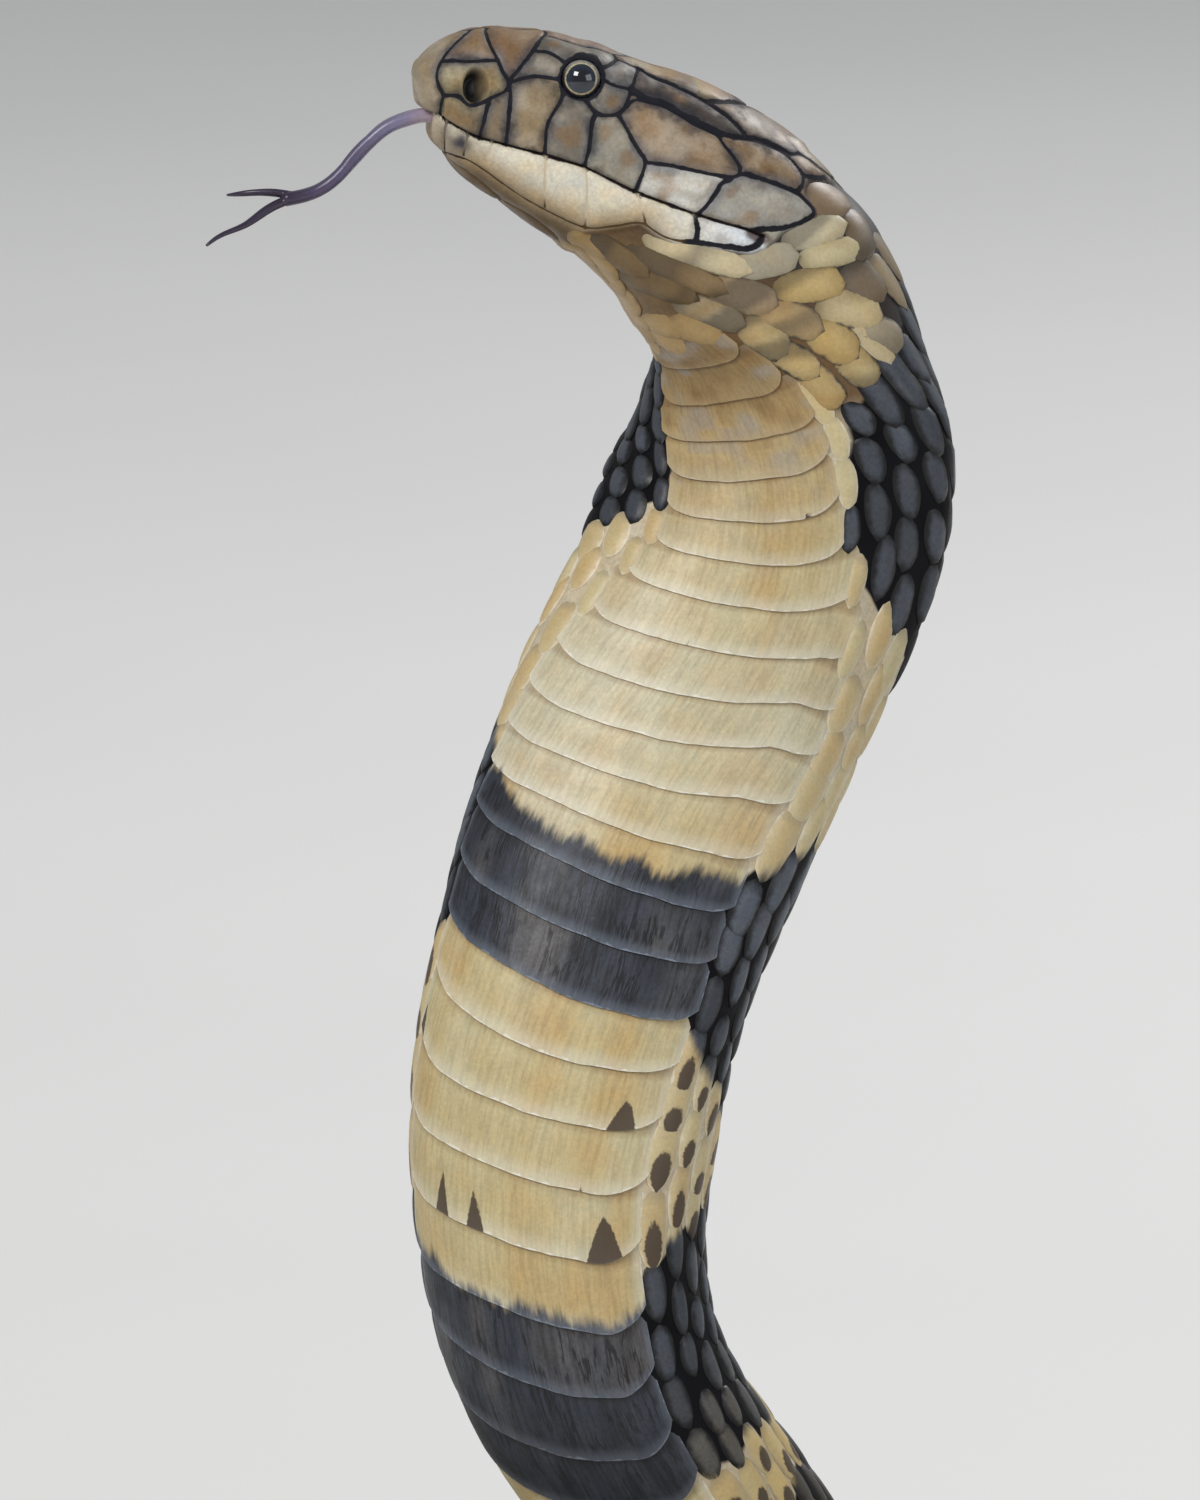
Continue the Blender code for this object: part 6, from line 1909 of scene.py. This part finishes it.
# %% Colours of the scales
def scale_layers(piece, tints=None):
    """What the finish has to know at every point of the scales of the back, the neck and the throat."""
    root, cell, chart = (read(piece.data, name) for name in ("root", "cell", "chart"))
    s, share, draw = root[:, 0], root[:, 1], root[:, 2]
    around = flank(s, share)
    own = dark_depth(distance_on(chart), chart[:, 1] - (0.5 if "throat" in piece.name else 0.0))
    own_share = 0.15 + 0.3 * ease(120, 132, s)
    rooted = dark_depth(s, share)  # on the hood each scale is either pale or dark
    clear = np.where(rooted > 0, 1, -1) * np.maximum(np.abs(rooted), 1.8)
    rooted = np.where(s < 130, clear, rooted)
    depth = (1 - own_share) * rooted + own_share * own
    hood = ease(262, 225, s)
    pale = mix(mix(YELLOW, ORANGE, 0.15 + 0.6 * draw), BAND_CORE, 1 - hood)
    pale_rim = mix(BAND_RIM, mix(pale, PALE_RIM, 0.6), hood)
    deep = mix(BACK_CORE, HOOD_CORE, hood) * (0.75 + 0.5 * draw)[:, None]
    deep = glazed(
        deep, ((106, 100, 86), 0.6 * ease(222, 232, s) * ease(320, 280, s) * ease(0.55, 0.25, around)),
        (SLATE_RIM, 0.28 * ease(139, 142, s) * ease(166, 163, s) * ease(0.5, 0.2, around)),
    )
    deep_rim = mix(BACK_RIM, HOOD_RIM, hood)
    nape = ease(76, 66, s) * ease(0.0, 0.25, around)
    brown = mix(NAPE_CORE, YELLOW, 0.75 * ease(0.62, 0.18, around) * (0.6 + 0.4 * draw))
    brown = brown * (0.85 + 0.3 * draw)[:, None]
    pale, pale_rim = mix(pale, brown, nape), mix(pale_rim, NAPE_RIM, nape)
    throat = ease(80, 70, s) * ease(0.3, 0.02, around)
    pale, pale_rim = mix(pale, mix(THROAT, ORANGE, 0.35 * draw), throat), mix(pale_rim, THROAT_RIM, throat)
    ragged = 0.5 * (soft_noise(share * 40, s * 0.2, 30) - 0.5)
    tipped = ease(166, 172, s) * ease(262, 250, s) * ease(0.12, 0.3, draw + 1.5 * around)
    drop = np.hypot((cell[:, 0] - 0.5) / (0.34 + 0.36 * draw), cell[:, 1] / (0.56 + 0.25 * cell[:, 0]))
    tip = np.clip(1 - drop, -1.5, 0.8) + 0.5 * ragged - 2.0 * (1 - tipped) - 2.0 * ease(-0.5, 0.5, rooted)
    edge = np.maximum(np.abs(cell[:, 0]) ** 1.6, np.abs(cell[:, 1]))
    if tints is not None:
        lean = ease(56, 66, s)
        patch = soft_noise(share * 46, chart[:, 0] * CHART_LENGTH * 0.3, 33)
        pale = mix(tints, tints * np.array([0.42, 0.43, 0.47]), 0.9 * ease(0.42, 0.72, patch))
        pale = mix(pale, tints * np.array([0.9, 0.76, 0.54]), 0.6 * ease(0.42, 0.15, patch) * ease(44, 54, s))
        pale_rim = mix(tints * 0.3, shade(40, 38, 38), lean)
        depth, tip = np.full(len(s), -DEEPEST), np.full(len(s), -3.0)
        edge = edge - 0.04 * (1 - lean)
    light = 1 - 0.5 * ease(-0.45, -1.0, cell[:, 0])[:, None]
    return dict(
        pale=pale * light, deep=deep * light, pale_rim=pale_rim, deep_rim=deep_rim, dark=depth, edge=edge, tip=tip,
    )


FRONT_SEED = 41
front_rows = scale_rows(40.0, TRUNK_START, FRONT_SEED)
nape_rows = sized([row for row in front_rows if row[0] < HOOD_TOP], 0.70, 1.08)
hood_rows = sized([row for row in front_rows if row[0] >= HOOD_TOP], 0.66, 1.04)
scales = [
    lay("throat_scales", under_throat, fine_scale, "belly_chart", 0.5, 0.0, scale_finish),
    lay("nape_scales", nape_rows, fine_scale, "back_chart", 0.6, 0.0, scale_finish),
    lay("hood_scales", hood_rows, pebble_scale, "back_chart", 0.62, 0.0, scale_finish),
]
SPANS = [TRUNK_START, 900.0, 1400.0, 1900.0, TAIL_TIP - 4]  # one piece each, so that none has too many faces
for number, (start, end) in enumerate(zip(SPANS, SPANS[1:]), 1):
    rows = sized(scale_rows(start, end, FRONT_SEED + number), 0.68, 1.12)
    scales.append(lay(f"body_scales_{number}", rows, plain_scale, "back_chart", 0.6, 0.0, scale_finish))
for piece in scales:
    finish_piece(piece, scale_layers(piece), 0.5 if "throat" in piece.name else 0.0, (0.68, 0.85))
scales.append(finish_piece(plates, scale_layers(plates, plate_tints), 0.0, (0.8, 0.8)))
for shape in (fine_scale, pebble_scale, plain_scale, blunt_scale, fine_scute, plain_scute):
    bpy.data.objects.remove(shape)

# %% [markdown]
# ## The eyes
# A snake has no eyelids. A clear scale lies over the eye like a watch glass, so it always shines. Under it,
# a grey-brown iris leaves a round pupil, edged by a fine pale-gold ring. The ball is made of rings about the
# axis that it looks along, so that its colours can be told by the ring alone, and it bulges a little more
# in front, as a cornea does.

# %% Make the eyes
def eye_ball(name, side, segments=72):
    """A ball of rings about the way it looks: close together in front, wide apart in the socket."""
    axis = eye_axis(side)
    up = unit(HEAD_UP - (HEAD_UP @ axis) * axis)
    across = np.cross(up, axis)
    points, tints, faces = [], [], []
    tilts = np.concatenate([np.linspace(0, 0.62 * math.pi, 44), np.linspace(0.66 * math.pi, math.pi, 8)])
    for tilt in tilts:
        for k in range(segments if 0 < tilt < math.pi else 1):
            around = 2 * math.pi * k / segments
            radius = EYE_RADIUS * (1 + 0.03 * math.exp(-(tilt / 0.6) ** 2))
            way = math.cos(tilt) * axis + math.sin(tilt) * (math.cos(around) * across + math.sin(around) * up)
            points.append(eye_centre(side) + way * radius)
            disc = math.sin(min(tilt, math.pi / 2)) * EYE_RADIUS
            fibre = 0.5 + 0.5 * math.sin(around * 37 + 3 * math.sin(around * 5)) * math.sin(around * 11)
            tints.append((disc, fibre, math.sin(around)))
    starts = [0]
    for tilt in tilts[:-1]:
        starts.append(starts[-1] + (segments if 0 < tilt < math.pi else 1))
    for k in range(segments):
        n = (k + 1) % segments
        faces.append((0, 1 + k, 1 + n))
        faces.append((len(points) - 1, starts[-2] + n, starts[-2] + k))
        for a, b in zip(starts[1:-2], starts[2:-1]):
            faces.append((a + k, b + k, b + n, a + n))
    ball = make_mesh(name, points, faces)
    disc, fibre, upward = np.array(tints).T
    ring = 2.12 - 0.05 * upward  # where the pale-gold ring begins, from the middle of the pupil
    pupil = mix(shade(9, 13, 22), shade(28, 42, 62), 0.6 * ease(0.9, 1.8, disc))
    gold = shade(206, 192, 150) * (0.55 + 0.35 * fibre)[:, None]
    iris = mix(shade(126, 128, 130), shade(150, 146, 136), fibre)
    # painted light from above: the iris is light grey on top and dark below
    iris = mix(shade(34, 34, 40), iris, ease(-0.2, 0.8, upward))
    colour = np.where((disc < ring)[:, None], pupil, gold)
    colour = glazed(colour, (iris, ease(ring + 0.16, ring + 0.26, disc)), ((16, 16, 20), ease(2.66, 2.8, disc)))
    paint(ball.data, tint=colour)
    outward(ball.data)
    return ball


def plain_material(name, size, cool, rough, bump_depth, coat):
    """A finish that takes its colour from the points, a little mottled."""
    made, tree, shader = new_finish(name)
    spots = group_node(tree, BLOTCHES, Blotch_Size=size)
    colour = mottled(tree, attribute(tree, "tint"), spots, cool, cool, 1 - cool / 2)
    set_gloss(tree, shader, colour, spots, spots["Grain"], rough, bump_depth, coat)
    return made


eye_finish = plain_material("wet_eye", 900.0, 0.12, 0.10, 0.000002, 1.0)
eye_finish.node_tree.nodes["Principled BSDF"].inputs["Coat Roughness"].default_value = 0.02
eyes = {name: eye_ball("cobra_" + name, side) for name, side in (("eye_left", 1), ("eye_right", -1))}
for ball in eyes.values():
    ball.data.materials.append(eye_finish)
print("faces of an eye:", len(eyes["eye_left"].data.polygons))

# %% [markdown]
# ## The tongue
# The tongue slides out through a notch in the upper lip, without the mouth opening. It is lilac-grey at the
# mouth and turns dark violet towards its two thin tips. It is a tube drawn along a smooth curve, with the two
# tips as thinner tubes that grow out of its end.

# %% Make the tongue
TONGUE = [  # place from the head's origin, and half the thickness
    (9.0, 0, -1.35, 1.1), (5.0, 0, -1.0, 1.15), (1.9, 0, -1.1, 1.25), (-1.3, 0, -2.8, 1.3), (-3.5, -0.1, -4.8, 1.25),
    (-5.1, -0.2, -7.5, 1.2), (-6.6, -0.4, -11.0, 1.15), (-8.1, -0.5, -14.4, 1.15), (-10.0, -0.6, -16.9, 1.15),
    (-12.0, -0.7, -18.4, 1.2), (-13.9, -0.8, -19.5, 1.25),
]
FORK = [
    [(-2.0, 0.9, -2.1, 0.7), (-4.7, 1.8, -5.4, 0.5), (-8.0, 2.7, -8.2, 0.35), (-9.3, 3.2, -9.9, 0.2)],
    [(-2.1, -1.0, 0.2, 0.7), (-5.4, -2.0, -1.2, 0.5), (-6.6, -3.0, -1.9, 0.35), (-7.4, -4.0, -2.4, 0.2)],
]


def tube(name, rows, sides, samples):
    """A closed tube through the rows (place, half thickness), with rounded ends."""
    places = spline(np.array([row[0] for row in rows]), samples)
    length = run_of([row[0] for row in rows])
    along = np.linspace(0, length[-1], samples)
    radius = np.interp(along, length, [row[1] for row in rows])
    way = unit(np.gradient(places, axis=0))
    side_way = unit(np.cross(way, HEAD_UP + 0.3 * HEAD_BACK))
    over = np.cross(side_way, way)
    points, faces = [], []
    for i in range(samples):
        for a in np.linspace(0, 2 * math.pi, sides + 1)[:-1]:
            groove = 1 - 0.16 * math.exp(-((math.sin(a) - 1) / 0.12) ** 2)  # along the top of the tongue
            out = math.cos(a) * side_way[i] * 1.15 + math.sin(a) * over[i] * 0.9
            points.append(places[i] + radius[i] * groove * out)
    for i in range(samples - 1):
        for j in range(sides):
            k = (j + 1) % sides
            faces.append((i * sides + j, i * sides + k, (i + 1) * sides + k, (i + 1) * sides + j))
    for i, end in ((0, -1), (samples - 1, 1)):
        tip = len(points)
        points.append(places[i] + way[i] * end * radius[i] * 0.8)
        for j in range(sides):
            k = (j + 1) % sides
            faces.append((i * sides + k, i * sides + j, tip) if end < 0 else (i * sides + j, i * sides + k, tip))
    obj = make_mesh(name, points, faces)
    outward(obj.data)
    return obj


def make_tongue():
    """The stem with its two tips, joined into one closed mesh and coloured along its length."""
    stem = tube("cobra_tongue", [(in_head(x, y, z), r) for x, y, z, r in TONGUE], 20, 90)
    end_x, end_y, end_z, _ = TONGUE[-1]
    tines = bpy.data.collections.new("tines")
    bpy.context.scene.collection.children.link(tines)
    for steps in FORK:
        rows = [(in_head(end_x + 1.6, end_y, end_z + 0.9), 0.8)]
        rows += [(in_head(end_x + x, end_y + y, end_z + z), r) for x, y, z, r in steps]
        tine = tube("tine", rows, 12, 36)
        bpy.context.scene.collection.objects.unlink(tine)
        tines.objects.link(tine)
    joined = stem.modifiers.new("join", "BOOLEAN")
    joined.operation, joined.solver = "UNION", "MANIFOLD"
    joined.operand_type, joined.collection = "COLLECTION", tines
    whole = settled(stem)
    stem.modifiers.clear()
    stem.data = whole
    for tine in list(tines.objects):
        bpy.data.objects.remove(tine)
    bpy.data.collections.remove(tines)
    out = np.array([v.co[:] for v in whole.vertices]) / MM - in_head(0, 0, 0)
    gone = -(out @ HEAD_BACK)
    colour = glazed(
        shade(128, 124, 154), ((80, 72, 102), ease(0, 9, gone)), ((46, 36, 58), ease(8, 15, gone)),
        ((206, 180, 190), 0.5 * ease(2.5, -1.5, gone)),
    )
    paint(whole, tint=colour)
    whole.shade_smooth()
    return stem


tongue = make_tongue()
tongue_finish = plain_material("moist_tongue", 500.0, 0.3, 0.30, 0.00004, 0.4)
tongue.data.materials.clear()
tongue.data.materials.append(tongue_finish)
print("faces of the tongue:", len(tongue.data.polygons))

# %% [markdown]
# ## Fix every piece to the model
# The model has no joints, so every piece rides on its one body. The skin stands for all the solids of flesh,
# which stay hidden and keep their weight. Eyes and tongue stand for their own.

# %% Ride and replace
FLESH = ["head", "lower_jaw", "hood", "forebody", "rise"]
FLESH += [f"body_{k}" for k in range(1, 10)] + [f"tail_{k}" for k in range(1, 4)]
skin.data.attributes.remove(skin.data.attributes["lift"])
for label in ("back_chart", "belly_chart"):
    skin.data.uv_layers.remove(skin.data.uv_layers[label])
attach(skin, "root")
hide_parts(*FLESH)
for piece in scales + [scutes_front, scutes_rear]:
    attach(piece, "root")
for name, ball in eyes.items():
    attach(ball, "root")
    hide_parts(name)
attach(tongue, "root")
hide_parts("tongue")
print("pieces:", [piece.name for piece in (skin, *scales, scutes_front, scutes_rear, *eyes.values(), tongue)])

# %% [markdown]
# ## The stand, the light and the camera
# A plain pale floor and wide soft lamps show the hide as a museum would. One large lamp from the upper left
# draws the scutes' edges, a weaker one from the right fills the shade, and one behind lifts the dark flank
# off the background. The camera looks slightly down, with a long lens, so that nothing is distorted.

# %% The floor
corners = [(-14000, -9000, 0), (14000, -9000, 0), (14000, 16000, 0), (-14000, 16000, 0)]
floor = make_mesh("floor", corners, [(0, 1, 2, 3)])
floor_finish, floor_tree, floor_shader = new_finish("pale_floor")
clouds = noise_at(floor_tree, object_place(floor_tree), 3.0, 2.0, 0.5)
grey = blend(floor_tree, clouds, (0.74, 0.74, 0.73), (0.79, 0.79, 0.78))
floor_tree.links.new(grey, floor_shader.inputs["Base Color"])
floor_shader.inputs["Roughness"].default_value = 0.8
floor.data.materials.append(floor_finish)
print("floor:", [round(v, 1) for v in floor.dimensions], "m")

# %% Lamps and camera
AIM = Vector((-PLAN_CENTRE[0] * MM, -PLAN_CENTRE[1] * MM, 0.22))  # the middle of the raised neck


def lamp(name, place, power, size, colour=(1, 1, 1)):
    """A soft square lamp that faces the model."""
    data = bpy.data.lights.new(name, "AREA")
    data.energy, data.size, data.color = power, size, colour
    obj = new_object(name, data)
    obj.location = place
    obj.rotation_euler = (AIM - Vector(place)).to_track_quat("-Z", "Y").to_euler()


bpy.context.scene.view_settings.view_transform = "Standard"
lamp("key", (-1.3, -1.9, 2.1), 54, 1.1, (1.0, 0.98, 0.96))
lamp("fill", (2.2, -2.2, 1.2), 22, 1.8, (0.95, 0.97, 1.0))
lamp("rim", (1.4, 1.8, 1.8), 40, 1.2)
world = bpy.data.worlds.new("studio")
world.use_nodes = True
sky = world.node_tree.nodes["Background"].inputs
sky["Color"].default_value, sky["Strength"].default_value = (0.86, 0.88, 0.9, 1), 0.34
bpy.context.scene.world = world

TILT, DISTANCE = math.radians(8.0), 3.5
SENSOR, VIEW_HEIGHT = 24.0, 0.2175  # height of the film in millimetres, and of what it sees in metres
camera_data = bpy.data.cameras.new("camera")
camera = new_object("camera", camera_data)
camera.location = AIM - Vector((0, math.cos(TILT), -math.sin(TILT))) * DISTANCE
camera.rotation_euler = (math.radians(90) - TILT, 0, 0)
camera_data.sensor_fit = "VERTICAL"
camera_data.sensor_height = SENSOR
camera_data.lens = SENSOR * DISTANCE / VIEW_HEIGHT
camera_data.clip_end = 60.0
bpy.context.scene.camera = camera
print("lens:", round(camera_data.lens, 1), "mm")
